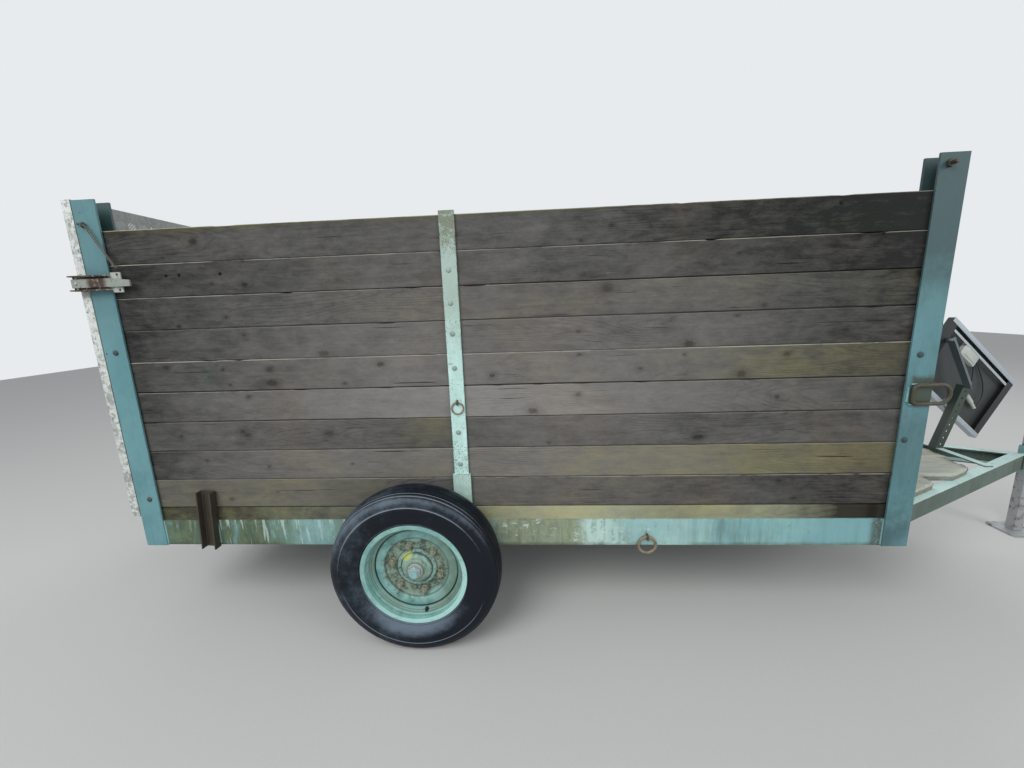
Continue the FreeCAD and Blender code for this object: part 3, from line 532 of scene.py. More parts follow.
# Where the rails carry khaki film, algae runs, a dotted stain and bleached paint, as spans along the trailer
railStains = {"film": (-0.80, -0.42), "algae": (-2.40, -1.70), "dots": (0.748, 0.806),
              "bleach": (-0.50, -0.26), "faint": (-0.30, 0.06), "mossy": (-1.56, -1.40),
              "khaki": (0.340, 0.385, 0.250), "green": (0.058, 0.080, 0.040), "brown": (0.050, 0.040, 0.018),
              "white": (0.60, 0.76, 0.72), "pale": (0.560, 0.770, 0.700), "cool": (0.172, 0.380, 0.412),
              "damp": (0.105, 0.200, 0.160)}


# The rails' own stains over their paint. The runs hang from the top edge and break up lower down.
def stainedRail(finish, patch):
    x, _, z = finish.axes()
    ragged = finish.noise(1.6, 6, 0.7, place=finish.at((12, 12, 5)))
    drift = (ragged - 0.5) * 0.25
    far = x + drift
    mottle = finish.noise((26, 26, 20), 6, 0.72)
    bleach = finish.band(far, *railStains["bleach"], 0.14) * 0.88
    finish.coat(bleach | finish.band(far, *railStains["faint"], 0.12) * 0.27, railStains["pale"])
    finish.coat(finish.step(far, 0.20, 0.60) * 0.75, railStains["cool"])
    film = finish.band(far, *railStains["film"], 0.06) * finish.step(ragged, 0.30, 0.40)
    khaki = railStains["khaki"]
    khaki = finish.mix(finish.step(mottle, 0.36, 0.64), shaded(khaki, 0.62), khaki)
    finish.coat(film * 0.92, khaki)
    hang = finish.noise((30, 30, 4.0), 6, 0.72)
    algae = finish.band(far, *railStains["algae"], 0.20)
    finish.coat(algae * 0.72, railStains["damp"])
    algae = algae * finish.step(hang * 0.5 + patch * 0.2 + mottle * 0.45, 0.45, 0.58)
    stray = finish.step(hang * 0.5 + mottle * 0.5, 0.50, 0.60) * finish.band(x, -1.80, -0.05, 0.10) * 0.6
    mossy = finish.band(x + drift * 0.6, *railStains["mossy"], 0.05) * finish.step(mottle, 0.34, 0.52) * 0.6
    green = railStains["green"]
    green = finish.mix(finish.step(mottle, 0.40, 0.60), green, shaded(green, 1.9))
    finish.coat((algae | (stray | mossy)) * 0.9, green)
    flecks = finish.spots(0.58, 0.65, 1.6, 5, 0.7, place=finish.at((16, 16, 26)))
    drips = finish.step(finish.noise((62, 62, 6), 4, 0.6) + z * 0.9 - 0.40, 0.56, 0.63)
    drips = drips * finish.band(x, -2.15, -1.30, 0.12) * 0.8
    finish.coat((flecks * finish.band(x, -1.4, -0.10, 0.15) | drips) * 0.7, railStains["white"])
    speck = finish.spots(0.43, 0.55, 105, 4, 0.65) * 0.85 | finish.step(mottle, 0.36, 0.54) * 0.75
    dots = finish.band(x + drift * 0.12, *railStains["dots"], 0.014) * speck
    finish.coat(dots * 0.95, railStains["brown"])
    low = (1 - finish.step(z + drift * 0.08, 0.378, 0.396)) * finish.step(patch, 0.46, 0.60)
    finish.coat(low * 0.6, railStains["green"])


railPaint = paintedSteel("railPaint", paints["mintPaint"], stainedRail)


# The stakes are dirty at the top and blotched lower down
def stainedStake(finish, patch):
    z = finish.axes()[2]
    cloud = finish.noise(30, 6, 0.75)
    top = finish.step(z + (cloud - 0.5) * 0.2, 1.58, 1.70) * 0.88
    upper = finish.step(z + (cloud - 0.5) * 0.3, 1.12, 1.46) * 0.72
    finish.coat(upper, (0.300, 0.370, 0.310))
    blot = finish.step(cloud * 0.7 + patch * 0.3, 0.56, 0.64) * 0.6
    finish.coat((top | blot) * finish.step(cloud, 0.34, 0.50), (0.170, 0.185, 0.130))


stakeLook = dict(paints["paleMintPaint"], fresh=(0.500, 0.740, 0.680), faded=(0.650, 0.920, 0.880))
stakePaint = paintedSteel("stakePaint", stakeLook, stainedStake)

# inner is the colour of the painted shade on the posts' inner side
postStainsAndShade = {"inner": (0.042, 0.066, 0.060), "film": (0.030, 0.062, 0.066), "link": (0.046, 0.058, 0.038),
              "dash": (0.020, 0.030, 0.030)}


# The posts get painted shade on the side that faces the load, and carry short dark scratches
def stainedPost(finish):
    # Painted shade on the side that faces the load
    inner = 1 - finish.step(abs(finish.axes()[1]), 0.640, 0.686)
    finish.coat(inner * 0.75, postStainsAndShade["inner"])
    dash = finish.spots(0.70, 0.73, (60, 60, 26), 3, 0.6)
    finish.coat(dash * 0.8, postStainsAndShade["dash"])


# The front posts also have a dark film at the top, damp at the foot and a darker patch around the corner link
def stainedFrontPost(finish, patch):
    stainedPost(finish)
    x, _, z = finish.axes()
    cloud = finish.noise(22, 5, 0.7)
    top = finish.step(z + (cloud - 0.5) * 0.3, 1.26, 1.60)
    lower = finish.band(z + (cloud - 0.5) * 0.2, 0.70, 0.96, 0.07)
    foot = (1 - finish.step(z + (cloud - 0.5) * 0.3, 0.40, 0.62)) * finish.step(patch, 0.40, 0.60)
    finish.coat(top * 0.88 | foot * 0.60 | lower * 0.36, postStainsAndShade["film"])
    drift = (cloud - 0.5) * 0.05
    link = finish.band(z + drift, 0.975, 1.085, 0.012) * finish.step(x + drift, 0.802, 0.822)
    finish.coat(link * 0.94, postStainsAndShade["link"])


# The rear posts are a little darker towards the top
def stainedRearPost(finish, patch):
    stainedPost(finish)
    cloud = finish.noise(22, 5, 0.7)
    top = finish.step(finish.axes()[2] + (cloud - 0.5) * 0.3, 1.18, 1.45)
    finish.coat(top * 0.30, postStainsAndShade["film"])


paint["rearPostPaint"] = paintedSteel("rearPostPaint", paints["rearPostPaint"], stainedRearPost)
paint["frontPostPaint"] = paintedSteel("frontPostPaint", paints["frontPostPaint"], stainedFrontPost)


# The large knots of the side boards: place along the trailer, height and reach
sideKnots = [(-1.847, 0.890, 0.026), (-1.484, 0.895, 0.030), (-2.147, 0.891, 0.013), (-1.815, 1.059, 0.018),
             (-1.752, 0.627, 0.009), (-1.400, 0.756, 0.010), (-2.050, 0.779, 0.011), (-1.773, 0.748, 0.012),
             (-1.885, 1.113, 0.013), (-1.393, 1.108, 0.013), (-1.971, 0.596, 0.013), (0.356, 1.181, 0.020),
             (0.374, 0.951, 0.011), (0.434, 0.585, 0.014), (-0.558, 0.838, 0.010), (-2.153, 1.194, 0.022),
             (-1.706, 1.172, 0.022), (-1.854, 1.391, 0.014), (-1.793, 1.320, 0.014), (-1.891, 1.528, 0.012),
             (-1.907, 1.177, 0.012), (-0.313, 1.678, 0.018), (-0.170, 1.667, 0.014), (0.123, 1.654, 0.020),
             (-0.426, 1.629, 0.010), (0.151, 1.560, 0.014), (-0.437, 1.291, 0.014), (-0.326, 1.452, 0.036),
             (-0.432, 1.201, 0.014), (-0.028, 1.190, 0.012), (0.162, 1.333, 0.012), (-0.195, 1.139, 0.012),
             (-0.438, 1.040, 0.020)]
# along and across are axes. rarer thins out the random knots, which stand beside the ones in the list.
timber = {
    "boardWood": {"dark": (0.018, 0.0188, 0.0178), "light": (0.252, 0.243, 0.230),
                  "pale": (0.400, 0.385, 0.320), "along": 0, "across": 2, "contrast": 0.66, "lift": 0.045,
                  "rarer": 0.20, "knots": sideKnots},
    "floorWood": {"dark": (0.034, 0.032, 0.024), "light": (0.520, 0.550, 0.420),
                  "pale": (0.560, 0.580, 0.450), "along": 0, "across": 1, "contrast": 0.5, "lift": 0.0,
                  "rarer": 0.0, "knots": ()},
    "deckWood": {"dark": (0.070, 0.066, 0.048), "light": (0.560, 0.590, 0.520), "pale": (0.640, 0.660, 0.580),
                 "along": 0, "across": 1, "contrast": 0.7, "lift": 0.0, "rarer": 0.0, "knots": ()}}
timber["frontBoardWood"] = dict(timber["boardWood"], along=1, rarer=0.0, knots=())
tints = {"olive": (1.02, 1.0, 0.62), "moss": (0.80, 1.00, 0.90), "warm": (1.12, 0.98, 0.85),
         "knot": (0.42, 0.40, 0.38), "halo": (0.66, 0.64, 0.62), "crack": (0.010, 0.008, 0.006)}
knotCells = (2.1, 7.6)  # random knots in a metre, along and across the grain


# Weathered planks: grain that bends round knots, mottled weathering, checks, algae, pale upper edges that are
# worn and carry a painted highlight, and dark seams of painted shade. The mesh gives each point the plank's
# number, its tone, and how much olive growth, edge wear with its painted highlight, and painted shade it has.
def weatheredWood(name, look):
    finish = Finish(name)
    axes = finish.axes()
    far, across = axes[look["along"]], axes[look["across"]]
    deep = axes[({0, 1, 2} - {look["along"], look["across"]}).pop()]
    number = finish.own("plank")
    knotMap = finish.join(far * knotCells[0] + number * 7.37, across * knotCells[1] + number * 3.1, 0.0)
    cells = finish.add("TexVoronoi", {"voronoi_dimensions": "2D"}, knotMap, None, 1.0, out="Position")
    chance, size, _ = finish.axes(cells.other("Color"))
    knotX, knotY, _ = finish.axes(finish.add("VectorMath", {"operation": "SUBTRACT"}, knotMap, cells))
    knotX = knotX / knotCells[0]
    knotY = knotY / knotCells[1]
    ripple = (finish.noise(70, 5, 0.75) - 0.5) * 0.024
    distance = (knotX * knotX * 0.40 + knotY * knotY).use("SQRT") + ripple
    shown = finish.step(chance, 0.46 + look["rarer"], 0.80 + look["rarer"] * 0.6)
    near = (distance * distance * -1200.0).use("EXPONENT") * shown
    bent = across - knotY * near * 0.8
    path = finish.join(far + number * 5.1, bent + number * 2.7, deep)
    mottle = finish.noise((4.5, 9, 6), 6, 0.66, place=path)
    blotch = finish.noise((15, 34, 20), 7, 0.74, 0.3, place=path)
    figure = finish.noise((1.3, 30, 9), 5, 0.6, 0.6, place=path)
    grain = finish.noise((6, 150, 50), 5, 0.68, place=path)
    fibres = finish.noise((22, 640, 160), 3, 0.6, place=path)
    rings = finish.noise((1.1, 8, 3), 1.5, 0.5, 0.3, place=path)
    late = finish.step(abs((rings * 24.0).use("FRACT") - 0.5), 0.28, 0.47)
    arches = late * finish.spots(0.46, 0.60, (1.3, 2.2, 2), 2, place=path)
    change = (mottle - 0.5) * 0.70 + (blotch - 0.5) * 0.95 + (figure - 0.5) * 0.30 - arches * 0.10
    change = change + (grain - 0.5) * 0.36 + (fibres - 0.5) * 0.20
    tone = finish.own("tone") + change * look["contrast"] + look["lift"]
    finish.colour = finish.mix(tone, look["dark"], look["light"])
    warm = finish.step(finish.noise(2.7, 4, 0.6) + far * 0.03, 0.46, 0.66) * 0.35
    finish.coat(warm, tints["warm"], "MULTIPLY")
    growth = finish.own("olive") + (mottle - 0.5) * 0.8 + (blotch - 0.5) * 0.7
    finish.coat(finish.step(growth, 0.15, 0.95), tints["olive"], "MULTIPLY")
    finish.coat(finish.step(growth * -1.0, 0.15, 0.80) * 0.9, tints["moss"], "MULTIPLY")
    share = distance / (0.006 + size * 0.007)
    halo = (1 - finish.step(share, 1.0, 3.6)) * shown
    knot = (1 - finish.step(share, 0.5, 1.5)) * shown
    flat = finish.join(far + ripple, 0.0, across * 1.5 + ripple) if look["knots"] else None
    nearest = None
    for spot, height, reach in look["knots"]:
        centre = (spot, 0, height * 1.5)
        away = finish.add("VectorMath", {"operation": "DISTANCE"}, flat, centre, out="Value") / reach
        nearest = away if nearest is None else nearest.use("MINIMUM", away)
    if look["knots"]:
        halo = halo | (1 - finish.step(nearest, 0.7, 2.0)) * 0.8
        knot = knot | (1 - finish.step(nearest, 0.25, 1.0)) * 0.8
    finish.coat(halo * 0.55, tints["halo"], "MULTIPLY")
    finish.coat(knot * 0.85, tints["knot"], "MULTIPLY")
    smudge = finish.spots(0.60, 0.74, (7, 9, 3), 6, 0.7, place=path)
    finish.coat(smudge * 0.45, tints["halo"], "MULTIPLY")
    scars = finish.spots(0.64, 0.75, (12, 90, 40), 6, 0.75, place=path)
    finish.coat(scars * 0.30, look["pale"])
    # Pale upper edges: wear, and a painted highlight where the edge catches light
    worn = finish.own("worn") * finish.spots(0.36, 0.52, (7, 60, 60), 6, 0.75, place=path)
    finish.coat(worn * 0.85, look["pale"])
    checks = finish.spots(0.715, 0.74, (2.6, 150, 30), 3, 0.5, place=path)
    # Dark checks, and painted shade in the seams and under the lower edges
    finish.coat((checks | finish.own("shade")) * 0.85, tints["crack"])
    rough = 0.78 + grain * 0.14
    height = grain * 0.45 + fibres * 0.30 + figure * 0.35 - checks * 1.6
    height = height - knot * 0.5 + blotch * 0.7 - arches * 0.5
    return finish.done(rough, height, 0.0014, gloss=0.2)


wood = {name: weatheredWood(name, look) for name, look in timber.items()}


# between is the colour of the painted shade on the gate's inner face
zinc = {"dull": (0.380, 0.400, 0.380), "bright": (0.700, 0.735, 0.705), "stain": (0.080, 0.085, 0.070),
        "between": (0.190, 0.206, 0.198), "innerFace": -2.4118}


# Hot dip zinc gone white: spangles as cells of brightness, cloudy bloom, dark dirt that gathers in spots, and
# painted shade over the inner face that sets off the tread bars
def galvanised(look):
    finish = Finish("galvanised")
    cells = finish.add("TexVoronoi", {"feature": "F1"}, finish.place, None, 62.0, out="Color")
    spangle = finish.axes(cells)[0]
    cloud = finish.noise(9, 6, 0.65)
    fine = finish.noise(150, 4, 0.6)
    bright = finish.step(spangle * 0.25 + cloud * 0.65 + fine * 0.15, 0.38, 0.62)
    finish.colour = finish.mix(bright, look["dull"], look["bright"])
    speckle = finish.spots(0.54, 0.63, 85, 6, 0.75)
    dirt = finish.spots(0.56, 0.68, 30, 7, 0.75) * 0.6 | speckle * 0.8
    # The inner face between the tread bars is darkened as painted shade
    inner = finish.step(finish.axes()[0], look["innerFace"] - 0.0005, look["innerFace"])
    dirt = dirt * (1 - inner * 0.72)
    finish.coat(inner * 0.72, look["between"])
    finish.coat(dirt, look["stain"])
    rough = 0.55 + spangle * 0.14 + dirt * 0.25
    return finish.done(rough, fine * 0.4 + dirt * 0.6, 0.0005, metal=0.30 - dirt * 0.2)


# Bare steel that has been handled: its own colour with a brown film in the lows
def bareSteel(name, bright, film, metal, filmAt, scale=24, gloss=0.5):
    finish = Finish(name)
    cloud = finish.noise(scale, 6, 0.68)
    fine = finish.noise(320, 3, 0.6)
    finish.colour = finish.mix(fine * 0.6, bright, shaded(bright, 0.72))
    rusty, grit = rustColour(finish)
    share = finish.step(cloud, filmAt, filmAt + 0.14)
    finish.coat(share * film, rusty)
    rough = 0.38 + cloud * 0.2 + share * 0.3
    return finish.done(rough, fine * 0.3 + grit * share * 0.7, 0.0006, metal=(1 - share) * metal, gloss=gloss)


# The latch's pale paint, rubbed through to rust over a span along the trailer
def latchPaint(name, pale, span):
    finish = Finish(name)
    x = finish.axes()[0]
    cloud = finish.noise(40, 6, 0.7)
    fine = finish.noise(260, 4, 0.6)
    finish.colour = finish.mix(cloud, shaded(pale, 0.72), pale)
    rusty, grit = rustColour(finish)
    rusty = finish.mix(finish.step(x, span[1], span[1] + 0.01) * 0.3 + 0.55, rusty, (0.050, 0.042, 0.034))
    rubbed = finish.band(x + (cloud - 0.5) * 0.05, *span, 0.014) * finish.step(cloud, 0.34, 0.48)
    rubbed = rubbed | (finish.edges(0.003) * finish.step(fine, 0.44, 0.58) * 0.8)
    rubbed = rubbed | (finish.spots(0.58, 0.65, 75, 6, 0.75) * 0.7)
    finish.coat(rubbed, rusty)
    return finish.done(0.55 + rubbed * 0.3, grit * rubbed * 0.8 - rubbed * 0.5 + fine * 0.2, 0.0007)


rubber = {"black": (0.0052, 0.0082, 0.0140), "dust": (0.138, 0.182, 0.230), "mud": (0.060, 0.052, 0.043),
          "ridgeHighlight": (0.300, 0.340, 0.390)}


# Old rubber about the wheel's line: bluish dust mixed with a painted sky sheen where the wall faces up,
# fading towards +x as painted shade, pale ridges by the distance from the line and from the wheel's middle
# that are painted highlights near the top, and mud near the tread
def tyreRubber(name, centre):
    finish = Finish(name)
    x, y, z = finish.axes(finish.at(shift=tuple(-c for c in centre)))
    radius = (x * x + z * z).use("SQRT")
    beside = abs(y)
    up = finish.facing()[2]
    cloud = finish.noise(7, 5, 0.6)
    fine = finish.noise(240, 4, 0.65)
    smear = finish.noise(26, 6, 0.72)
    wall = finish.step(beside, 0.060, 0.070)
    # Painted sky sheen where the wall faces up, stronger low on the wheel
    facingUpSheen = finish.step(up, 0.02, 0.50) * (wall * 0.75 + 0.25) * (1.08 - z * 1.5)
    # The bluish colour is dust and painted sheen together, and it fades towards +x as painted shade
    dust = finish.step(cloud * 0.45 + fine * 0.2 + smear * 0.35 + facingUpSheen * 0.42 - x * 0.28, 0.50, 0.98)
    finish.colour = finish.mix(dust, rubber["black"], rubber["dust"])
    # The pale ridge lines are painted highlights, shown near the top and fading towards +x
    ridgeHighlights = finish.band(radius, 0.2986, 0.3014, 0.0008) * wall | finish.band(radius, 0.3390, 0.3412, 0.0010)
    ridgeHighlights = ridgeHighlights | finish.band(beside, 0.0428, 0.0448, 0.0008) * finish.step(radius, 0.342, 0.344)
    ridgeHighlights = ridgeHighlights * finish.step(z * 2.0 - x * 0.5 + smear * 0.5, 0.35, 0.80)
    finish.coat(ridgeHighlights * 0.85, rubber["ridgeHighlight"])
    mud = finish.spots(0.58, 0.72, 15, 6, 0.7) * finish.step(radius, 0.325, 0.350)
    finish.coat(mud * 0.5, rubber["mud"])
    crack = finish.spots(0.66, 0.70, 60, 6, 0.75)
    return finish.done(0.46 + cloud * 0.16 + mud * 0.25, fine * 0.35 - crack * 0.5, 0.0006, gloss=0.22)


wheelLook = {"deep": (0.130, 0.290, 0.270), "mint": (0.262, 0.490, 0.455), "bright": (0.440, 0.760, 0.710),
             "mudDark": (0.046, 0.056, 0.036), "mudLight": (0.250, 0.325, 0.245),
             "moss": (0.165, 0.220, 0.150), "bell": (0.330, 0.440, 0.340), "creaseShade": (0.030, 0.045, 0.038),
             "yellow": (0.52, 0.55, 0.14), "dab": (-0.038, 0.050), "dabLean": 34, "nutCircle": 0.1025,
             "nutTurn": 44.0}


# Wheel paint by the distance from the wheel's line: a painted highlight on the flange, mottled on the slope
# with painted shade in the creases, mint on the raised ring, and greenish mud over the bolting face, whose
# edge wanders
def wheelPaint(name, centre, dirt):
    finish = Finish(name)
    x, _, z = finish.axes(finish.at(shift=tuple(-c for c in centre)))
    radius = (x * x + z * z).use("SQRT")
    cloud = finish.noise(16, 6, 0.65)
    fine = finish.noise(85, 6, 0.72)
    broad = finish.noise(7, 4, 0.6)
    finish.colour = finish.mix(finish.step(cloud, 0.35, 0.65), wheelLook["deep"], wheelLook["mint"])
    # The flange's bright colour is a painted highlight, stronger low on the wheel and towards +x
    rise = finish.step(finish.facing()[2] * -0.4 + z * -1.3 + x * 0.8, -0.10, 0.22) * 0.76 + 0.19
    finish.coat(finish.step(radius, 0.1950, 0.1980) * rise, wheelLook["bright"])
    mossy = finish.step(cloud * 0.5 + fine * 0.3 + broad * 0.3, 0.46, 0.60)
    finish.coat(finish.band(radius, 0.174, 0.1945, 0.002) * mossy * 0.75, wheelLook["moss"])
    wander = radius + (cloud - 0.5) * 0.075 + (broad - 0.5) * 0.070 + x * 0.06
    mud = (1 - finish.step(wander, dirt["reach"] - 0.012, dirt["reach"] + 0.012)) * dirt["mud"]
    film = finish.spots(0.53, 0.72, 34, 6, 0.7) * 0.45
    flake = finish.spots(0.60, 0.66, 24, 7, 0.75)
    mud = (mud | film) * (1 - flake * 0.7)
    mottle = finish.step(fine * 0.55 + cloud * 0.45, 0.41, 0.58)
    muddy = finish.mix(mottle, wheelLook["mudDark"], wheelLook["mudLight"])
    ahead = finish.step(x, 0.02, 0.15) * (1 - finish.step(radius, 0.166, 0.172))
    finish.coat(ahead * 0.62, wheelLook["moss"])
    finish.coat(mud, muddy)
    lap = finish.add("Math", {"operation": "ARCTAN2"}, z, x) / (math.pi / 3) - wheelLook["nutTurn"] / 60 + 0.5
    beside = (lap.use("FRACT") - 0.5) * (wheelLook["nutCircle"] * math.pi / 3)
    outside = radius - wheelLook["nutCircle"]
    fromNut = (beside * beside + outside * outside).use("SQRT") + (fine - 0.5) * 0.030
    # Dark mud round each nut that also serves as painted shade about the nuts
    finish.coat((1 - finish.step(fromNut, 0.014, 0.024)) * 0.60, wheelLook["mudDark"])
    bell = (1 - finish.step(radius, 0.054, 0.064)) * finish.step(cloud * 0.6 + fine * 0.4, 0.36, 0.56)
    finish.coat(bell * 0.75, wheelLook["bell"])
    ring = finish.band(radius, *dirt["collar"], 0.0012) * finish.step(fine, 0.36, 0.56)
    finish.coat(ring * 0.6, wheelLook["mint"])
    # Painted shade in the creases and gaps between the wheel's parts, broken up by noise
    creasePatchiness = finish.step(fine * 0.4 + cloud * 0.6, 0.30, 0.48)
    for spot, width, strength in dirt["shadedCreases"]:
        creaseShade = finish.band(radius, spot - width / 2, spot + width / 2, 0.0009) * creasePatchiness * strength
        finish.coat(creaseShade, wheelLook["creaseShade"])
    chip = finish.spots(0.675, 0.705, 52, 7, 0.75)
    finish.coat(chip, rustColour(finish)[0])
    away = [x - wheelLook["dab"][0], z - wheelLook["dab"][1]]
    lean = math.radians(wheelLook["dabLean"])
    length = (away[0] * math.cos(lean) + away[1] * math.sin(lean)) * 0.46
    width = away[1] * math.cos(lean) - away[0] * math.sin(lean)
    dab = (length * length + width * width).use("SQRT") + (fine - 0.5) * 0.018 + (cloud - 0.5) * 0.014
    finish.coat((1 - finish.step(dab, 0.009, 0.016)) * 0.85, wheelLook["yellow"])
    rough = 0.45 + mud * 0.38 + chip * 0.2
    return finish.done(rough, fine * mud * 1.3 - chip * 0.7 + cloud * 0.2, 0.0010)


wheelCentre = {side: sum(span("tyre_" + side)) / 2 for side in ("right", "left")}
rubberOf = {side: tyreRubber("tyreRubber" + side.title(), wheelCentre[side]) for side in wheelCentre}
# How far out the mud reaches and its share, the collar's span, and the creases that get painted shade as
# (radius, width, strength)
rimDirt = {"reach": 0.130, "mud": 0.90, "collar": (0.069, 0.081), "shadedCreases": [
    (0.1845, 0.0022, 0.55), (0.1910, 0.0016, 0.7), (0.1735, 0.0030, 0.8), (0.1330, 0.0050, 0.55),
    (0.0850, 0.0030, 0.8)]}
hubDirt = {"reach": 0.30, "mud": 0.62, "collar": (0.050, 0.058), "shadedCreases": [
    (0.0640, 0.0030, 0.7), (0.0385, 0.0020, 0.5), (0.0330, 0.0040, 0.7)]}
rimOf = {side: wheelPaint("rimPaint" + side.title(), wheelCentre[side], rimDirt) for side in wheelCentre}
hubOf = {side: wheelPaint("hubPaint" + side.title(), wheelCentre[side], hubDirt) for side in wheelCentre}
zincFinish = galvanised(zinc)
# name: colour, strength of the brown film, metal, noise level at which the film starts, noise scale, gloss
steels = {
    "wornSteel": ((0.47, 0.49, 0.50), 0.75, 0.75, 0.50),
    "nutSteel": ((0.50, 0.58, 0.58), 0.35, 0.55, 0.58),
    "muddyNut": ((0.310, 0.325, 0.235), 0.62, 0.1, 0.50, 90),
    "rustySteel": ((0.105, 0.090, 0.068), 0.50, 0.2, 0.46),
    "linkSteel": ((0.062, 0.060, 0.038), 0.55, 0.15, 0.52, 50),
    "lampSteel": ((0.052, 0.044, 0.032), 0.40, 0.1, 0.52, 40),
    "ringSteel": ((0.29, 0.24, 0.16), 0.75, 0.2, 0.50, 60),
    "wireSteel": ((0.110, 0.100, 0.085), 0.6, 0.3, 0.50),
    "nailSteel": ((0.010, 0.009, 0.008), 0.2, 0.0, 0.60, 24, 0.1),
    "armSteel": ((0.068, 0.088, 0.075), 0.45, 0.25, 0.56),
    "strutSteel": ((0.180, 0.215, 0.225), 0.25, 0.45, 0.58),
    # The tread bars are lighter than the zinc they stand on: a painted highlight
    "treadHighlightSteel": ((0.80, 0.84, 0.82), 0.10, 0.2, 0.60),
    "alloyFrame": ((0.56, 0.62, 0.66), 0.06, 0.6, 0.64),
    "blackCoatAndShade": ((0.020, 0.021, 0.024), 0.10, 0.0, 0.66),
    "panelBack": ((0.046, 0.054, 0.053), 0.12, 0.0, 0.60),
    "whitePlastic": ((0.60, 0.64, 0.60), 0.15, 0.0, 0.60, 60)}
steel = {name: bareSteel(name, *look) for name, look in steels.items()}
leverPaint = latchPaint("leverPaint", (0.34, 0.37, 0.33), (-2.385, -2.310))
bracketPaint = latchPaint("bracketPaint", (0.50, 0.53, 0.48), (-2.560, -2.296))

# Each CAD node wears the finish of the longest of these words that starts its name
wearers = [
    (railPaint, "rail"), (stakePaint, "stake"), (paint["paleMintPaint"], "front_uprights stake_pocket"),
    (paint["mintPaint"], "cross_members rear_member front_member axle_beam axle_gussets leg_sleeve"),
    (paint["frontPostPaint"], "front_post"), (paint["rearPostPaint"], "rear_post"),
    (paint["drawbarPaint"], "drawbar"), (leverPaint, "latch_lever"), (bracketPaint, "latch_bracket"),
    (wood["boardWood"], "side_boards"), (wood["frontBoardWood"], "front_boards"),
    (wood["floorWood"], "floor_planks"), (wood["deckWood"], "deck_planks"),
    (zincFinish, "gate_panel gate_ribs hinge_eyes"), (steel["nutSteel"], "axle_nuts"),
    (steel["wornSteel"], "leg_tube leg_foot hinge_pins"), (steel["wireSteel"], "gate_wire"),
    (steel["rustySteel"], "hinge_lugs ring_staples"), (steel["ringSteel"], "lashing_rings"),
    (steel["linkSteel"], "corner_links"), (steel["lampSteel"], "lamp_irons"),
    # Black on the panel's end members is painted shade
    (steel["alloyFrame"], "panel_rails"), (steel["blackCoatAndShade"], "panel_ends"),
    (steel["panelBack"], "panel_back"), (steel["armSteel"], "panel_arm_lower"),
    (steel["strutSteel"], "panel_arm_upper")]
for side in wheelCentre:
    wearers += [(rubberOf[side], "tyre_" + side), (rimOf[side], "rim_" + side), (hubOf[side], "hub_" + side)]
finishOf = {word: finish for finish, words in wearers for word in words.split()}
for name, node in nodes.items():
    for place in node.material_slots:
        place.material = finishOf[max((word for word in finishOf if name.startswith(word)), key=len)]
print("finishes made:", len(bpy.data.materials))


# Boards and planks

# The section of a plank is a rounded rectangle walked once round: back, top edge, outer face, bottom edge.
# Each column has a share of the depth (0 back, 1 face) and of the height (0 bottom, 1 top), a rounding offset
# in metres from that corner, and marks for the upper corner, worn pale with a painted highlight, and for the
# lower one, darkened by painted shade.
softness = 0.0035
turn = np.linspace(0, math.pi / 2, 5)
faceShares = np.linspace(1, 0, 9)
plankColumns = {
    "depth": np.concatenate([[0, 0], [0.35, 0.7], np.ones(5), np.ones(9), np.ones(5), [0.7, 0.35, 0]]),
    "height": np.concatenate([[0.5, 1], [1, 1], np.ones(5), faceShares, np.zeros(5), [0, 0, 0]]),
    "inward": np.concatenate([[0] * 4, softness * (1 - np.sin(turn)), [0] * 9, softness * (1 - np.cos(turn)),
                              [0] * 3]),
    "lower": np.concatenate([[0] * 4, softness * (1 - np.cos(turn)), [softness, 0.004] + [0] * 7, [0] * 8]),
    "raise": np.concatenate([[0] * 9, [0] * 8, [softness], softness * (1 - np.sin(turn)), [0] * 3]),
    "worn": np.concatenate([[0, 0, 0.6, 0.8], [1, 1, 1, 0.9, 0.6], [0] * 9, [0] * 8]),
    "shade": np.concatenate([[0] * 4, [0] * 5, [0] * 9, [0.1, 0.5, 0.8, 0.9, 1], [1, 1, 0.4]])}


# A value that is a at the rear, b in the middle and c at the front: a (1-t)(1-2t) + 4 b t (1-t) + c t (2t-1)
def drift(values, t):
    return values[0] * (1 - t) * (1 - 2 * t) + 4 * values[1] * t * (1 - t) + values[2] * t * (2 * t - 1)


def bumps(spots, far):  # Gaussian bumps of (place, width, height) along the plank
    return sum(height * np.exp(-((far - spot) / width) ** 2) for spot, width, height in spots)


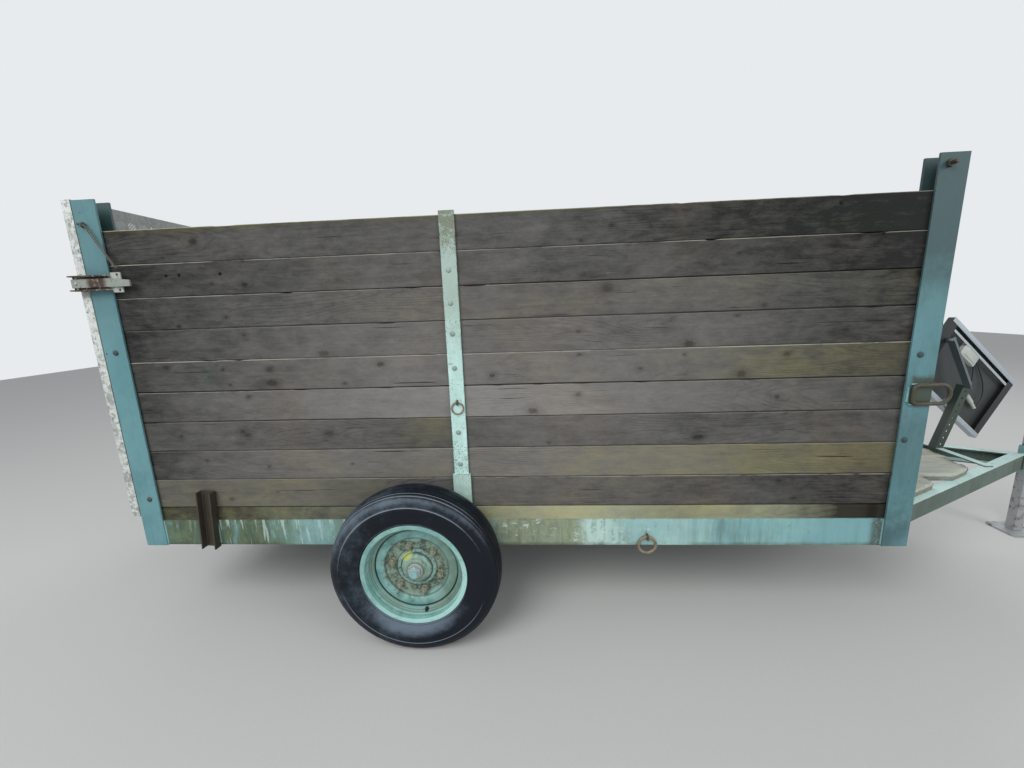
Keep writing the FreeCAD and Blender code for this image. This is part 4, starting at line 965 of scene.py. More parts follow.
# A plank on a grid of (distance along, column). The two edges waver, the face stands back by a share that
# drifts along the plank and is cupped by c (2u - 1)^2, and a few chips are taken out of the upper corner as
# Gaussian dips. Its corners come back as (along, outward, upward) with the values kept on the points.
def plank(start, end, back, face, bottom, top, number, look, source, step=0.027):
    columns = plankColumns
    t = np.linspace(0, 1, int((end - start) / step) + 2)[:, None]
    far = start + (end - start) * t
    seam = look["seam"][0] * (1 - t) + look["seam"][1] * t
    upper = top - 0.0005 * waver(far, source, 0.55)
    lower = bottom + (0.0004 + 0.0036 * seam) * (0.35 + 0.65 * waver(far, source, 0.5))
    stands = look["standsBack"][0] * (1 - t) + look["standsBack"][1] * t
    height, depth = columns["height"][None], columns["depth"][None]
    spread = (2 * height - 1) ** 2
    outer = face - stands - 0.0006 * waver(far, source, 0.8) + look["cup"] * (spread - 1)
    chips = np.zeros_like(far)
    for _ in range(look.get("chips", 3)):
        width, dip = source.uniform(0.010, 0.035), source.uniform(0.002, 0.006)
        chips = chips + dip * np.exp(-((far - source.uniform(start, end)) / width) ** 2)
    corner = (columns["worn"] > 0.85)[None]
    out = back + (outer - back) * depth - columns["inward"][None] - chips * corner
    up = lower + (upper - lower) * height - columns["lower"][None] + columns["raise"][None]
    up = up - chips * corner * 0.8
    both = far + 0 * up
    points = np.stack([both, out, up], -1)
    # The upper corner's pale edge: wear together with a painted highlight
    lit = look["worn"][0] * (1 - t) + look["worn"][1] * t
    lit = lit * (0.5 + 0.9 * waver(far, source, 0.9))
    olive = look["olive"][0] * (1 - t) + look["olive"][1] * t + 0.30 * (waver(far, source, 0.45) - 0.5)
    olive = olive + bumps(look.get("patches", ()), far)
    olive = olive + look.get("oliveTop", 0) * np.clip(height * 5 - 4, 0, 1)
    tone = drift(look["tone"], t) + bumps(look.get("paler", ()), far) + 0.12 * (waver(far, source, 0.6) - 0.5)
    # Painted shade along the seam below the plank
    shade = 0.05 + 0.95 * seam * (0.6 + 0.6 * waver(far, source, 0.7))
    return points, {"plank": float(number), "tone": tone, "olive": olive, "worn": lit * columns["worn"][None],
                    "shade": np.clip(shade, 0, 1) * columns["shade"][None]}


# Boards from the bottom: tone at the rear, middle and front, and rear and front values of how far the face
# stands back, of olive growth (moss where negative), of edge wear with its painted highlight and of how open
# the seam below is, which also sets its painted shade. paler and patches are bumps of tone and of olive
# growth as (place, width, height), and oliveTop is the growth along the top edge.
sideLooks = [
    {"standsBack": (0.0042, 0.0052), "tone": (0.42, 0.46, 0.02), "olive": (0.50, 0.15), "worn": (0.2, 0.9),
     "seam": (0.45, 0.40), "paler": ((0.72, 0.12, 0.06),)},
    {"standsBack": (0.0034, 0.0026), "tone": (0.10, 0.76, 0.34), "olive": (0.05, 0.80), "worn": (0.2, 0.3),
     "seam": (0.30, 1.0)},
    {"standsBack": (0.0036, 0.0032), "tone": (0.19, 0.43, 0.25), "olive": (0.00, 0.15), "worn": (0.2, 0.3),
     "seam": (0.55, 0.55), "paler": ((-1.70, 0.20, 0.08),), "patches": ((-1.05, 0.20, 0.55),)},
    {"standsBack": (0.0026, 0.0034), "tone": (-0.01, 0.84, 0.02), "olive": (-0.10, 0.15), "worn": (0.5, 0.1),
     "seam": (0.75, 0.65), "chips": 8, "paler": ((-0.60, 0.22, 0.12), (0.0, 0.25, -0.07))},
    {"standsBack": (0.0014, 0.0020), "tone": (0.03, 0.61, 0.08), "olive": (0.00, 0.40), "worn": (1.0, 1.0),
     "seam": (1.0, 1.0), "paler": ((-1.20, 0.15, 0.06), (0.20, 0.25, 0.10)),
     "patches": ((-1.98, 0.09, -0.50), (0.40, 0.30, 0.30))},
    {"standsBack": (0.0022, 0.0036), "tone": (-0.02, 0.52, 0.05), "olive": (0.00, 0.05), "worn": (0.3, 0.1),
     "seam": (0.05, 0.10), "paler": ((-1.20, 0.20, 0.09), (0.35, 0.20, -0.06))},
    {"standsBack": (0.0010, 0.0024), "tone": (-0.01, 0.46, -0.05), "olive": (0.05, 0.45), "worn": (0.8, 0.0),
     "seam": (0.35, 1.0), "paler": ((0.15, 0.30, 0.10),)},
    {"standsBack": (0.0016, 0.0012), "tone": (0.0, 0.34, -0.16), "olive": (0.00, 0.05), "worn": (0.9, 0.7),
     "seam": (0.20, 1.0), "paler": ((-1.72, 0.22, -0.10),)},
    {"standsBack": (0.0028, 0.0018), "tone": (0.05, 0.29, -0.21), "olive": (0.10, -0.45), "worn": (0.9, 0.7),
     "seam": (0.10, 0.05), "oliveTop": 0.9, "paler": ((-1.70, 0.20, 0.06), (-0.05, 0.25, -0.05))}]
for look in sideLooks:
    look["cup"] = 0.0006


# Planks side by side that fill a node's box. order gives the axes that run along, outward and up the planks.
# Where sign is -1 the box is mirrored first, and the planks are mirrored back.
def plankRow(node, order, looks, seed, first, sign=1):
    low, high = span(node)
    low[1], high[1] = sorted((sign * low[1], sign * high[1]))
    low, high = low[order], high[order]
    pitch = (high[2] - low[2]) / len(looks)
    source = np.random.default_rng(seed)
    row = Shape()
    for i, look in enumerate(looks):
        points, values = plank(low[0], high[0], low[1], high[1], low[2] + i * pitch, low[2] + (i + 1) * pitch,
                               first + i, look, source)
        row.grid(points[..., order] * (1, sign, 1), **values)
    return row


# The left wall holds the same boards in another order
leftLooks = [sideLooks[i] for i in (0, 2, 1, 5, 3, 4, 7, 6, 8)]
for side, sign, looks, seed in (("right", -1, sideLooks, 11), ("left", 1, leftLooks, 23)):
    node = "side_boards_" + side
    wall = plankRow(node, [0, 1, 2], looks, seed, seed, sign)
    wall.make("sideBoards" + side.title(), wood["boardWood"], "chassis", "board_wood", [node], 50)
print("side boards made")

# The front wall's boards run across, with their outer faces forward
frontLooks = [dict(sideLooks[(i * 5 + 2) % 9], standsBack=(0.002, 0.001)) for i in range(9)]
wall = plankRow("front_boards", [1, 0, 2], frontLooks, 37, 40)
wall.make("frontBoards", wood["frontBoardWood"], "chassis", "board_wood", ["front_boards"], 50)

# Floor planks lie flat. The outermost shows its edge as a strip under the side boards.
floorLook = {"standsBack": (0.001, 0.0015), "tone": (0.20, 0.26, 0.18), "olive": (0.1, 0.15),
             "worn": (0.0, 0.0), "cup": 0.0008, "chips": 0, "seam": (0.8, 0.8)}
edgeLook = dict(floorLook, seam=(0.0, 0.0), tone=(0.05, 0.36, 0.02), olive=(0.5, 0.4),
                paler=((-0.45, 0.36, 0.42), (0.24, 0.27, 0.37), (0.70, 0.10, -0.34), (-1.95, 0.20, -0.09)))
floor = plankRow("floor_planks", [0, 2, 1], [edgeLook, *[floorLook] * 7, edgeLook], 53, 60)
floor.make("floorPlanks", wood["floorWood"], "chassis", "floor_wood", ["floor_planks"], 50)

# Deck planks on the drawbar, cut to its taper. Each front end is ragged: its reach wavers across the plank.
deckLook = {"taper": 0.5248, "halfAtBody": 0.601, "pitch": 0.230, "gap": 0.004, "toBrace": 1.694,
            "shorts": (0.456, 0.144, 0.109, 0.128, 0.440), "round": 0.010}


# A deck plank on a grid of (distance along, column round its section). u runs across it and its edges follow
# the drawbar's taper. The section is a rectangle with quarter-round corners, shrunk towards the ragged end.
def deckPlank(index, look, low, high, source):
    y0 = (index - len(look["shorts"]) / 2) * look["pitch"] + look["gap"] / 2
    y1 = y0 + look["pitch"] - look["gap"]
    limit = look["toBrace"] - look["shorts"][index]
    t = np.linspace(0, 1, 40)[:, None]
    side = np.linspace(0, 1, 13)
    ones = np.ones(13)
    u = np.concatenate([side, ones[:5], side[::-1], ones[:5] * 0])[None]
    v = np.concatenate([ones, np.linspace(0.85, 0.15, 5), ones * 0, np.linspace(0.15, 0.85, 5)])[None]
    edge = np.abs(2 * u - 1)
    ragged = 0.030 * waver(u * 0.23 + 0.1 * v, source, 9.0) + 0.020 * waver(v, source, 1.2)
    x = low[0] + (limit - low[0] - ragged * 0.6) * t
    reach = look["halfAtBody"] - look["taper"] * (x - low[0])
    lower, upper = np.maximum(y0, -reach), np.minimum(y1, reach)
    y = lower + np.maximum(upper - lower, 0.004) * u
    thick = high[2] - low[2]
    drop = np.where(edge > 0.86, (edge - 0.86) / 0.14, 0) ** 2 * look["round"] * 0.30
    worn = np.clip((t - 0.93) / 0.07, 0, 1) ** 2
    shrink = drop + worn * 0.006 * (0.5 + waver(u * 0.4, source, 6.0))
    onTop = v > 0.5
    z = low[2] + thick * v + np.where(onTop, -shrink, shrink * 0.6) - 0.0015 * waver(x, source, 3.0) * onTop
    y = y + np.where(u > 0.5, -1, 1) * worn * 0.010
    points = np.stack([x + 0 * z, y + 0 * z, z], -1)
    endShade = np.clip((t - 0.93) / 0.07, 0, 1) * 0.35 + np.where(v < 0.85, 0.25, 0)
    return points, {"plank": 80.0 + index, "tone": 0.72 - endShade * 1.2 + 0 * z, "olive": 0.15 + 0 * z,
                    "worn": np.clip((edge - 0.9) * 8, 0, 1) * (v > 0.5) + 0 * z,
                    "shade": endShade * 0.4 + 0 * z}


low, high = span("deck_planks")
source = np.random.default_rng(71)
deck = Shape()
for i in range(len(deckLook["shorts"])):
    points, values = deckPlank(i, deckLook, low, high, source)
    deck.grid(points, **values)
deck.make("deckPlanks", wood["deckWood"], "chassis", "deck_wood", ["deck_planks"], 50)
print("floor and deck made")


# Wheels

# Half of the tyre's outline as (offset from the wheel's middle, radius), from the bead up the wall to the
# shoulder
tyreWall = [(0.0540, 0.2042), (0.0602, 0.2046), (0.0605, 0.2180), (0.0640, 0.2206), (0.0672, 0.2222),
            (0.0680, 0.2240), (0.0672, 0.2262), (0.0695, 0.2320), (0.0738, 0.2440), (0.0778, 0.2570),
            (0.0806, 0.2700), (0.0822, 0.2830), (0.0820, 0.2920), (0.0808, 0.2976), (0.0812, 0.2984),
            (0.0822, 0.2994), (0.0822, 0.3006), (0.0808, 0.3020), (0.0796, 0.3060), (0.0776, 0.3140),
            (0.0752, 0.3210), (0.0722, 0.3270), (0.0680, 0.3326), (0.0630, 0.3372), (0.0600, 0.3388),
            (0.0612, 0.3394), (0.0608, 0.3408), (0.0585, 0.3414)]
tread = {"grooves": (0.0390, 0.0135), "width": 0.0052, "depth": 0.0065, "crown": 3.35}


def tyreOutline():
    half = []
    for middle in tread["grooves"]:
        wide = tread["width"] / 2
        half += [(middle + wide, 0), (middle + wide * 0.6, 1), (middle - wide * 0.6, 1), (middle - wide, 0)]
    half = np.array([(0.0545, 0), (0.0480, 0), *half[:4], (0.0300, 0), (0.0220, 0), *half[4:], (0.004, 0)])
    radius = 0.3516 - tread["crown"] * half[:, 0] ** 2 - tread["depth"] * half[:, 1]
    outer = np.concatenate([tyreWall, np.stack([half[:, 0], radius], 1)])
    return np.concatenate([outer, outer[::-1] * (-1, 1)])


# Corners of the rim, the disc and the hub as (offset from the wheel's middle, radius, rounding)
rimFlange = [(0.0650, 0.1990, 0.003), (0.0655, 0.2180, 0.0018), (0.0625, 0.2188, 0.0012),
             (0.0612, 0.2150, 0.002), (0.0610, 0.2030, 0.003), (0.0350, 0.2030, 0.005),
             (0.0190, 0.1780, 0.005)]
rimCorners = [*rimFlange, *[(-offset, radius, soft) for offset, radius, soft in rimFlange[::-1]],
              (-0.0380, 0.1990, 0.005), (-0.0220, 0.1740, 0.005), (0.0220, 0.1740, 0.005),
              (0.0330, 0.1900, 0.0015), (0.0340, 0.1908, 0.0008), (0.0352, 0.1928, 0.0012),
              (0.0380, 0.1990, 0.003), (0.0500, 0.1990, 0.001), (0.0515, 0.1978, 0.0008),
              (0.0535, 0.1978, 0.0008), (0.0550, 0.1990, 0.001)]
discCorners = [(0.0100, 0.0670, 0.0015), (0.0100, 0.0795, 0.002), (0.0062, 0.0840, 0.002),
               (0.0060, 0.1270, 0.005), (0.0190, 0.1395, 0.006), (0.0205, 0.1560, 0.008),
               (0.0196, 0.1700, 0.004), (0.0130, 0.1718, 0.004), (0.0020, 0.1718, 0.002),
               (0.0020, 0.1755, 0.001), (-0.0030, 0.1755, 0.001), (-0.0040, 0.1660, 0.002),
               (0.0130, 0.1640, 0.003), (0.0140, 0.1410, 0.004), (0.0000, 0.1290, 0.003),
               (0.0000, 0.0670, 0.001)]
hubCorners = [(0.0310, 0.0203, 0.0004), (0.0310, 0.0360, 0.003), (0.0285, 0.0415, 0.003),
              (0.0165, 0.0560, 0.010), (0.0115, 0.0655, 0.006), (0.0020, 0.0660, 0.002),
              (0.0000, 0.0665, 0.001), (0.0000, 0.1160, 0.001), (-0.0100, 0.1160, 0.001),
              (-0.0102, 0.0440, 0.003), (-0.0250, 0.0420, 0.003), (-0.0720, 0.0420, 0.003),
              (-0.0720, 0.0203, 0.0004)]
# name of the node: piece, outlines, points round, finish, slot, sharp angle
turnings = {"tyre": ("tyreTreaded", [tyreOutline()], 192, rubberOf, "tyre", 30),
            "rim": ("rimAndDisc", [rounded(rimCorners), rounded(discCorners)], 160, rimOf, "rim_paint", 40),
            "hub": ("hubTurned", [rounded(hubCorners)], 96, hubOf, "hub_paint", 40)}
# Each nut is a washer, a hexagon and the stud's end, with their profiles as (distance outward, radius)
wheelNut = {"count": 6, "seat": 0.0060, "hexagonAt": 0.0030, "across": 0.0235, "tall": 0.0150,
            "washer": [(-0.001, 0.0145), (0.0022, 0.0145), (0.0040, 0.0128), (0.0040, 0.004)],
            "stud": [(0, 0.0064), (0.0055, 0.0064), (0.0070, 0.0050), (0.0070, 0.0005)]}
valveStem = {"place": (0.034, 0.029, -0.180), "profile": [
    (-0.004, 0.0085), (0.002, 0.0082), (0.005, 0.0060), (0.009, 0.0050), (0.0095, 0.0042), (0.013, 0.0042),
    (0.0135, 0.0005)]}
for side, centre in wheelCentre.items():
    sign = -1 if side == "right" else 1
    outward, body = (0, sign, 0), "wheel_" + side
    for node, (piece, outlines, around, finish, slot, sharp) in turnings.items():
        turning = Shape()
        for outline in outlines:
            turning.plus(lathe(outline, centre, outward, around, True))
        turning.make(piece + side.title(), finish[side], body, slot, [node + "_" + side], sharp)
    angles = np.radians(wheelLook["nutTurn"] + np.arange(wheelNut["count"]) * 360 / wheelNut["count"])
    places = centre + wheelLook["nutCircle"] * np.stack([np.cos(angles), 0 * angles, np.sin(angles)], 1)
    seat = wheelNut["seat"] * sign
    hexagon = seat + wheelNut["hexagonAt"] * sign
    nut = lathe(wheelNut["washer"], (0, seat, 0), outward, 28)
    nut.plus(hexHead((0, hexagon, 0), outward, wheelNut["across"], wheelNut["tall"], 36))
    nut.plus(lathe(wheelNut["stud"], (0, hexagon + wheelNut["tall"] * sign, 0), outward, 18))
    nut.copies(places).make("wheelNuts" + side.title(), steel["muddyNut"], body, "bare_steel", smooth=30)
    valve = lathe(valveStem["profile"], centre + np.array(valveStem["place"]) * (1, sign, 1), outward, 20)
    valve.make("valveStem" + side.title(), rubberOf[side], body, "tyre", smooth=30)
print("wheels made")

# Washer, hexagon nut with a turned crown, on both spindles
nutLook = {"washerAt": 0.834, "washer": 0.0320, "across": 0.0465, "tall": 0.0150, "crown": 0.0205,
           "hexagonAt": 0.838, "crownAt": 0.853}
spindle = np.array([wheelCentre["right"][0], 0, wheelCentre["right"][2]])
outward = (0, -1, 0)
wide = nutLook["washer"]
washer = rounded([(0, 0.0174, 0.0003), (0, wide, 0.0008), (0.0036, wide, 0.0010), (0.0036, 0.0174, 0.0003)])
axleNut = lathe(washer, spindle + (0, -nutLook["washerAt"], 0), outward, 64, True)
axleNut.plus(hexHead(spindle + (0, -nutLook["hexagonAt"], 0), outward, nutLook["across"], nutLook["tall"],
                     72))
wide = nutLook["crown"]
crown = rounded([(0, 0.0172, 0.0003), (0, wide, 0.0005), (0.0062, wide, 0.0012), (0.0070, 0.0172, 0.0005)])
axleNut.plus(lathe(crown, spindle + (0, -nutLook["crownAt"], 0), outward, 64, True))
axleNut.both().make("axleNutsTurned", steel["nutSteel"], "chassis", "bare_steel", ["axle_nuts"], 30)


# Bolts, nuts and nails

# Places are (along the trailer, height), and faces are offsets from its middle line
postFace, boardFace, innerFace = -0.698, -0.6884, -0.640
stakeBolts = [(-0.930, z) for z in (1.542, 1.417, 1.298, 1.161, 0.893, 0.755)]
postBolts = [(0.829, 1.167), (0.819, 0.834), (-2.352, 1.262), (-2.345, 0.603)]
nails = [(-2.078, 1.565), (-2.023, 1.565), (-1.850, 1.564), (0.492, 1.718), (0.649, 1.608)]
# piece: places, face, radius, height, points round, finish, slot
headRows = {
    "stakeBoltHeads": (stakeBolts, postFace + 0.0002, 0.0105, 0.0062, 20, paint["paleBoltPaint"],
                       "pale_mint_paint"),
    "postBoltHeads": (postBolts, postFace + 0.0002, 0.0115, 0.0070, 20, paint["boltPaint"], "teal_paint"),
    "nailHeads": (nails, boardFace, 0.0066, 0.0014, 12, steel["nailSteel"], "rusty_steel")}


def makeHeads(piece):
    places, face, radius, height, around, finish, slot = headRows[piece]
    heads = Shape()
    for x, z in places:
        heads.plus(domeHead((x, face, z), outward, radius, height, around))
    heads.both().make(piece, finish, "chassis", slot)


makeHeads("stakeBoltHeads")
makeHeads("postBoltHeads")

# Nuts inside the walls, with a washer and the bolt's end behind the stakes
inward = (0, 1, 0)
innerNut = {"across": 0.0165, "tall": 0.0080, "postGap": 0.007,
            "washer": [(0, 0.0140), (0.0018, 0.0140), (0.0020, 0.0050)],
            "end": [(0, 0.0048), (0.0065, 0.0048), (0.0075, 0.0038), (0.0075, 0.0004)]}
inner = Shape()
for x, z in stakeBolts:
    inner.plus(lathe(innerNut["washer"], (x, innerFace - 0.002, z), inward, 24))
    inner.plus(hexHead((x, innerFace, z), inward, innerNut["across"], innerNut["tall"], 36))
    inner.plus(lathe(innerNut["end"], (x, innerFace + innerNut["tall"], z), inward, 14))
for x, z in postBolts:
    inner.plus(hexHead((x, innerFace + innerNut["postGap"], z), inward, innerNut["across"], innerNut["tall"],
                       36))
inner.both().make("innerNuts", steel["wornSteel"], "chassis", "bare_steel", smooth=30)

# A bolt stands through the top of each front post
through = {"x": 0.826, "z": 1.826, "across": 0.0240, "tall": 0.0120,
           "end": [(0, 0.0072), (0.0180, 0.0072), (0.0195, 0.0058), (0.0195, 0.0004)]}
bolt = lathe(through["end"], (through["x"], postFace - through["tall"], through["z"]), outward, 20)
for face, axis in ((postFace, outward), (innerFace + innerNut["postGap"], inward)):
    bolt.plus(hexHead((through["x"], face, through["z"]), axis, through["across"], through["tall"], 36))
bolt.both().make("throughBolts", steel["lampSteel"], "chassis", "rusty_steel", smooth=30)
makeHeads("nailHeads")
print("fasteners made")


# Welds, each along the line where two pieces meet
weldLines = [  # start, end, radius
    ((-0.9665, -0.6915, 0.400), (-0.9665, -0.6915, 0.494), 0.0030),
    ((-0.8875, -0.6915, 0.494), (-0.8875, -0.6915, 0.400), 0.0030),
    ((-2.3050, -0.6910, 0.380), (-2.3050, -0.6910, 0.495), 0.0032),
    ((0.7930, -0.6910, 0.380), (0.7930, -0.6910, 0.495), 0.0032),
    ((0.8030, -0.6995, 0.985), (0.8030, -0.6995, 1.045), 0.0040),
    ((0.8120, -0.6995, 1.0545), (0.8800, -0.6995, 1.0545), 0.0034),
    ((0.8120, -0.6995, 0.9755), (0.8800, -0.6995, 0.9755), 0.0034),
    ((-2.1190, -0.6915, 0.385), (-2.1180, -0.6915, 0.494), 0.0030),
    ((-2.0510, -0.6915, 0.385), (-2.0500, -0.6915, 0.494), 0.0030)]


def weldAll(lines):
    beads = Shape()
    for start, end, radius in lines:
        beads.plus(weldBead([start, end], radius))
    return beads


weldAll(weldLines).both().make("frameWelds", paint["mintPaint"], "chassis", "mint_paint", smooth=60)
noseLow, noseHigh = span("drawbar_nose")
braceLow, braceHigh = span("drawbar_brace")
plateX, pipeX = noseLow[0] - 0.001, noseLow[0] + 0.0105
braceZ = braceLow[2] + 0.0008
noseHeights = (noseLow[2] + 0.002, noseHigh[2] - 0.002)
noseLines = [((plateX, -0.030, z), (plateX, 0.030, z), 0.0032) for z in noseHeights]
noseLines += [((pipeX, y, 0.429), (pipeX, y, 0.485), 0.0030) for y in (-0.0255, 0.0255)]
noseLines += [((x, y, braceZ), (x, y + 0.036, braceZ), 0.0028) for x in (braceLow[0], braceHigh[0])
              for y in (braceLow[1] + 0.004, braceHigh[1] - 0.040)]
weldAll(noseLines).make("drawbarWelds", paint["drawbarPaint"], "chassis", "mint_paint", smooth=60)
print("welds made")


# Tailgate tread: groups of five bars at 45 degrees that alternate left and right over the inner face, in a
# steel lighter than the zinc as a painted highlight
treadLook = {"pitch": 0.052, "bars": 5, "barLength": 0.042, "barWidth": 0.0036, "barPitch": 0.0088,
             "rise": 0.0014, "sunk": 0.0002, "crest": (0.93, 0.45), "shorter": 0.22, "margin": 0.008}


def gateTread(look):
    low, high = span("gate_panel")
    long, wide = look["barLength"] / 2, look["barWidth"] / 2
    foot = np.array([(-long, -wide), (long, -wide), (long, wide), (-long, wide)])
    crest = foot * look["crest"]
    groups = {}
    for lean in (1, -1):
        c, s = math.cos(math.pi / 4), math.sin(math.pi / 4 * lean)
        turn = np.array([[c, -s], [s, c]])
        bars = Shape()
        for k in range(look["bars"]):
            spot = k - (look["bars"] - 1) / 2
            shift, length = (0, spot * look["barPitch"]), (1 - look["shorter"] * abs(spot), 1)
            rings = [np.column_stack([np.full(4, out), (ring * length + shift) @ turn.T])
                     for ring, out in ((foot, look["sunk"]), (crest, look["rise"]))]
            bars.grid(np.stack(rings))
        groups[lean] = bars
    half = look["pitch"] / 2
    across = np.arange(low[1] + half + look["margin"], high[1] - half, look["pitch"])
    upward = np.arange(low[2] + half + look["margin"], high[2] - half, look["pitch"])
    y, z = np.meshgrid(across, upward, indexing="ij")
    even = np.add.outer(np.arange(len(across)), np.arange(len(upward))) % 2 == 0
    places = np.stack([np.full(y.shape, high[0]), y, z], -1)
    return groups[1].copies(places[even]).plus(groups[-1].copies(places[~even]))


gateTread(treadLook).make("gateTreadBars", steel["treadHighlightSteel"], "tailgate", "galvanised", smooth=20)
gateFoot = span("gate_panel")[0][2] - 0.0005
hingeLines = [((x, y - 0.022, gateFoot), (x, y + 0.022, gateFoot), 0.0026) for y in (-0.480, 0.0, 0.480)
              for x in (-2.4462, -2.4138)]
weldAll(hingeLines).make("gateWelds", zincFinish, "tailgate", "galvanised", smooth=60)
print("tailgate tread made")


# Latch: a rivet through the lever, on both sides
rivetLook = {"fromEnd": 0.022, "face": -0.7177, "radius": 0.0060, "height": 0.0035}
leverLow, leverHigh = span("latch_lever_right")
place = (leverLow[0] + rivetLook["fromEnd"], rivetLook["face"], (leverLow[2] + leverHigh[2]) / 2)
rivet = domeHead(place, outward, rivetLook["radius"], rivetLook["height"], 18)
rivet.both().make("latchRivets", steel["wornSteel"], "tailgate", "bare_steel")

# Hook wire: a second strand beside the first, and the hook's bent end
strandLine = [(-2.366, -0.7100, 1.7600), (-2.352, -0.7125, 1.7620), (-2.338, -0.7130, 1.7340),
              (-2.264, -0.7130, 1.6040)]
hookLine = [(-2.372, -0.7065, 1.7720), (-2.380, -0.7010, 1.7750), (-2.396, -0.7000, 1.7740)]
strands = along(strandLine, 0.0019, 0.004, 10).plus(along(hookLine, 0.0030, 0.003, 10))
strands.make("wireStrands", steel["wireSteel"], "chassis", "bare_steel", smooth=60)
print("latch and wire made")


# Panel on the drawbar. Its own frame has its back at y = 0 and its long sides along x.
panelLook = {"turn": 36.0, "yaw": 15.0, "place": (1.873, 0.160, 0.885), "halfLong": 0.341, "halfShort": 0.200,
             "sheetBack": 0.029, "glassBack": 0.0341, "glassFront": 0.0348, "rim": 0.002, "cell": 0.0975,
             "finger": 0.0024}
turn, yaw = math.radians(panelLook["turn"]), math.radians(panelLook["yaw"])
tip = np.array([[math.cos(turn), 0, math.sin(turn)], [0, 1, 0], [-math.sin(turn), 0, math.cos(turn)]])
swing = np.array([[math.cos(yaw), -math.sin(yaw), 0], [math.sin(yaw), math.cos(yaw), 0], [0, 0, 1]])
panelTurn = swing @ tip


def onPanel(shape):
    return shape.turned(panelTurn).moved(panelLook["place"])


# A box with rounded corners in (x, z), its face at y = near drawn in a little
def softBox(x0, x1, z0, z1, near, far, soft):
    loop = rounded([(x0, z0, soft), (x1, z0, soft), (x1, z1, soft), (x0, z1, soft)])
    middle = np.array([(x0 + x1) / 2, (z0 + z1) / 2])
    rings = []
    for y, share in ((far, 1.0), (near + soft * 0.4, 1.0), (near, 0.94)):
        ring = middle + (loop - middle) * share
        rings.append(np.column_stack([ring[:, 0], np.full(len(ring), y), ring[:, 1]]))
    return Shape().grid(np.stack(rings))


# Cells of the panel's front: a dark blue film with thin pale lines between the cells, by the panel's own
# place
def cellFinish():
    finish = Finish("panelCells")
    local = finish.at(shift=tuple(-c for c in panelLook["place"]))
    settings = {"rotation_type": "EULER_XYZ", "invert": True}
    x, _, z = finish.axes(finish.add("VectorRotate", settings, Vector=local, Rotation=(0, turn, yaw)))
    cellX = abs((x / panelLook["cell"]).use("FRACT") - 0.5)
    cellZ = abs((z / panelLook["cell"]).use("FRACT") - 0.5)
    line = finish.step(cellX | cellZ, 0.485, 0.492)
    finger = finish.step((z / panelLook["finger"]).use("FRACT"), 0.82, 0.95) * 0.12
    cloud = finish.noise(6, 4)
    finish.colour = finish.mix(cloud, (0.008, 0.012, 0.035), (0.014, 0.020, 0.055))
    finish.coat((line | finger) * 0.8, (0.30, 0.33, 0.36))
    dust = finish.spots(0.52, 0.75, 30, 6, 0.7)
    finish.coat(dust * 0.25, (0.17, 0.16, 0.13))
    return finish.done(0.10 + dust * 0.4, gloss=0.6)


halfLong, halfShort = panelLook["halfLong"] - panelLook["rim"], panelLook["halfShort"] - panelLook["rim"]
glass = softBox(-halfLong, halfLong, -halfShort, halfShort, panelLook["glassBack"], panelLook["glassFront"],
                0.003)
onPanel(glass).make("panelGlass", cellFinish(), "chassis", "panel_back", smooth=30)

# Sizes of the junction box and its lid as softBox takes them, the plug's steps, and the leads as curves of
# start, pull and end
fittings = {"box": (-0.150, -0.005, 0.085, 0.160, 0.006, panelLook["sheetBack"], 0.008),
            "lid": (-0.135, -0.020, 0.098, 0.147, 0.003, 0.008, 0.006),
            "plug": ((0.085, 0.012, -0.052), (0.150, 0.012, -0.064), (0.200, 0.012, -0.075)),
            "plugRadii": (0.0120, 0.0085), "leadRadius": 0.0032,
            "leads": (((0.0, 0.020, 0.110), (0.09, 0.018, 0.020), (0.088, 0.012, -0.050)),
                      ((0.0, 0.020, 0.130), (0.26, 0.018, 0.060), (0.202, 0.012, -0.076)))}
junction = softBox(*fittings["box"]).plus(softBox(*fittings["lid"]))
onPanel(junction).make("junctionBox", steel["whitePlastic"], "chassis", "panel_back", smooth=40)
plug = Shape()
for i, radius in enumerate(fittings["plugRadii"]):
    plug.plus(along(fittings["plug"][i:i + 2], radius, 0.004, 18))
onPanel(plug).make("leadPlug", steel["whitePlastic"], "chassis", "panel_back", smooth=40)
t = np.linspace(0, 1, 30)[:, None]
leads = Shape()
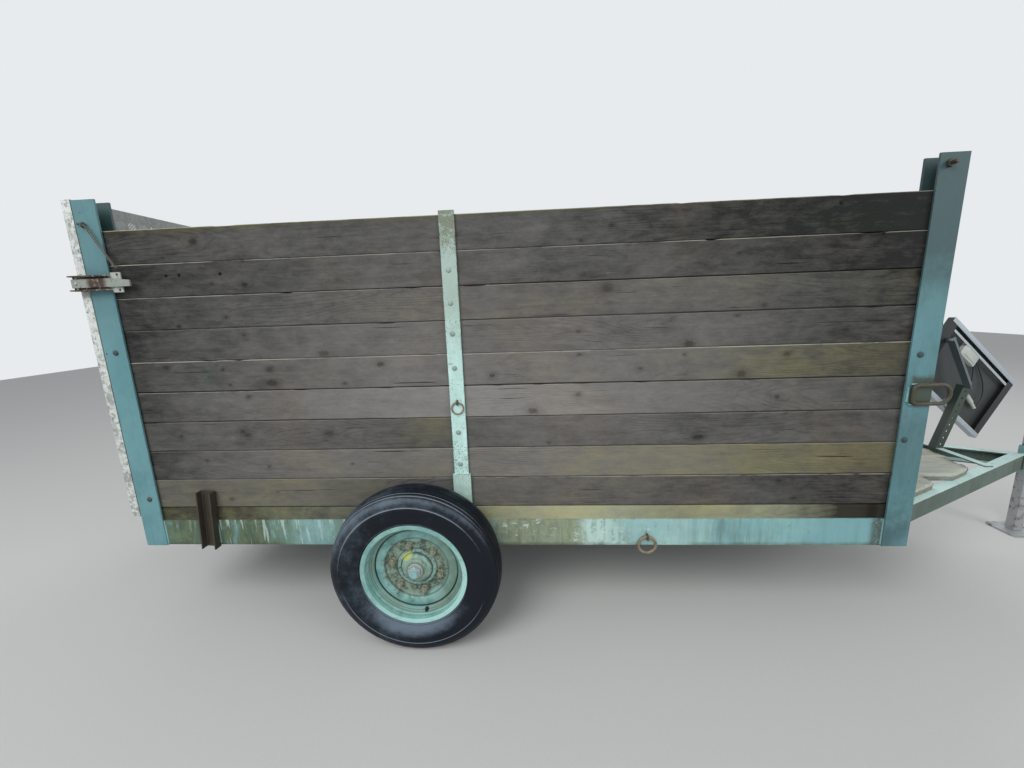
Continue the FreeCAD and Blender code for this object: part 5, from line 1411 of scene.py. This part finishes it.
for start, pull, end in fittings["leads"]:
    curve = (1 - t) ** 2 * np.array(start) + 2 * t * (1 - t) * np.array(pull) + t ** 2 * np.array(end)
    leads.plus(along(curve, fittings["leadRadius"], 0.008, 10))
onPanel(leads).make("panelLeads", steel["blackCoatAndShade"], "chassis", "panel_back", smooth=60)
print("panel fittings made")


# Parking leg: a clamp screw with its cross bar through the sleeve
screwLook = {"below": 0.030, "barAt": 0.050, "barHalf": 0.045, "barLean": 0.010, "barRadius": 0.0045,
             "profile": [(0, 0.0120), (0.010, 0.0120), (0.0105, 0.0060), (0.060, 0.0060), (0.061, 0.0005)]}
sleeveLow, sleeveHigh = span("leg_sleeve")
screwAt = np.array([sleeveHigh[0], (sleeveLow[1] + sleeveHigh[1]) / 2, sleeveHigh[2] - screwLook["below"]])
barMiddle = screwAt + (screwLook["barAt"], 0, 0)
barEnd = np.array([0, screwLook["barHalf"], screwLook["barLean"]])
screw = lathe(screwLook["profile"], screwAt, (1, 0, 0), 24)
screw.plus(along([barMiddle - barEnd, barMiddle + barEnd], screwLook["barRadius"], 0.004, 14))
screw.make("legClampScrew", steel["wornSteel"], "chassis", "bare_steel", smooth=30)


# Soft edges on the plain CAD pieces, by the longest word that starts the name. Their split faces are welded
# first.
softEdges = {"stake": 0.0012, "stake_pocket": 0.0010, "latch_bracket": 0.0008, "latch_lever": 0.0012,
             "lamp_irons": 0.0012, "drawbar": 0.0012, "drawbar_brace": 0.0010, "drawbar_nose": 0.0015,
             "leg_foot": 0.0012, "leg_tube": 0.0020, "leg_sleeve": 0.0012, "panel_rails": 0.0004,
             "panel_ends": 0.0004, "front_uprights": 0.0010, "gate_panel": 0.0012, "hinge_lugs": 0.0008,
             "hinge_eyes": 0.0008}
for name in nodes:
    words = [word for word in softEdges if name.startswith(word)]
    if not words:
        continue
    joined = nodes[name].modifiers.new("joined", "WELD")
    joined.merge_threshold = 0.00002
    soft = nodes[name].modifiers.new("soft", "BEVEL")
    soft.width = softEdges[max(words, key=len)]
    soft.segments = 2
    soft.limit_method = "ANGLE"
    soft.angle_limit = math.radians(40)
    soft.harden_normals = False
print("edges softened")

low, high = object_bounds()
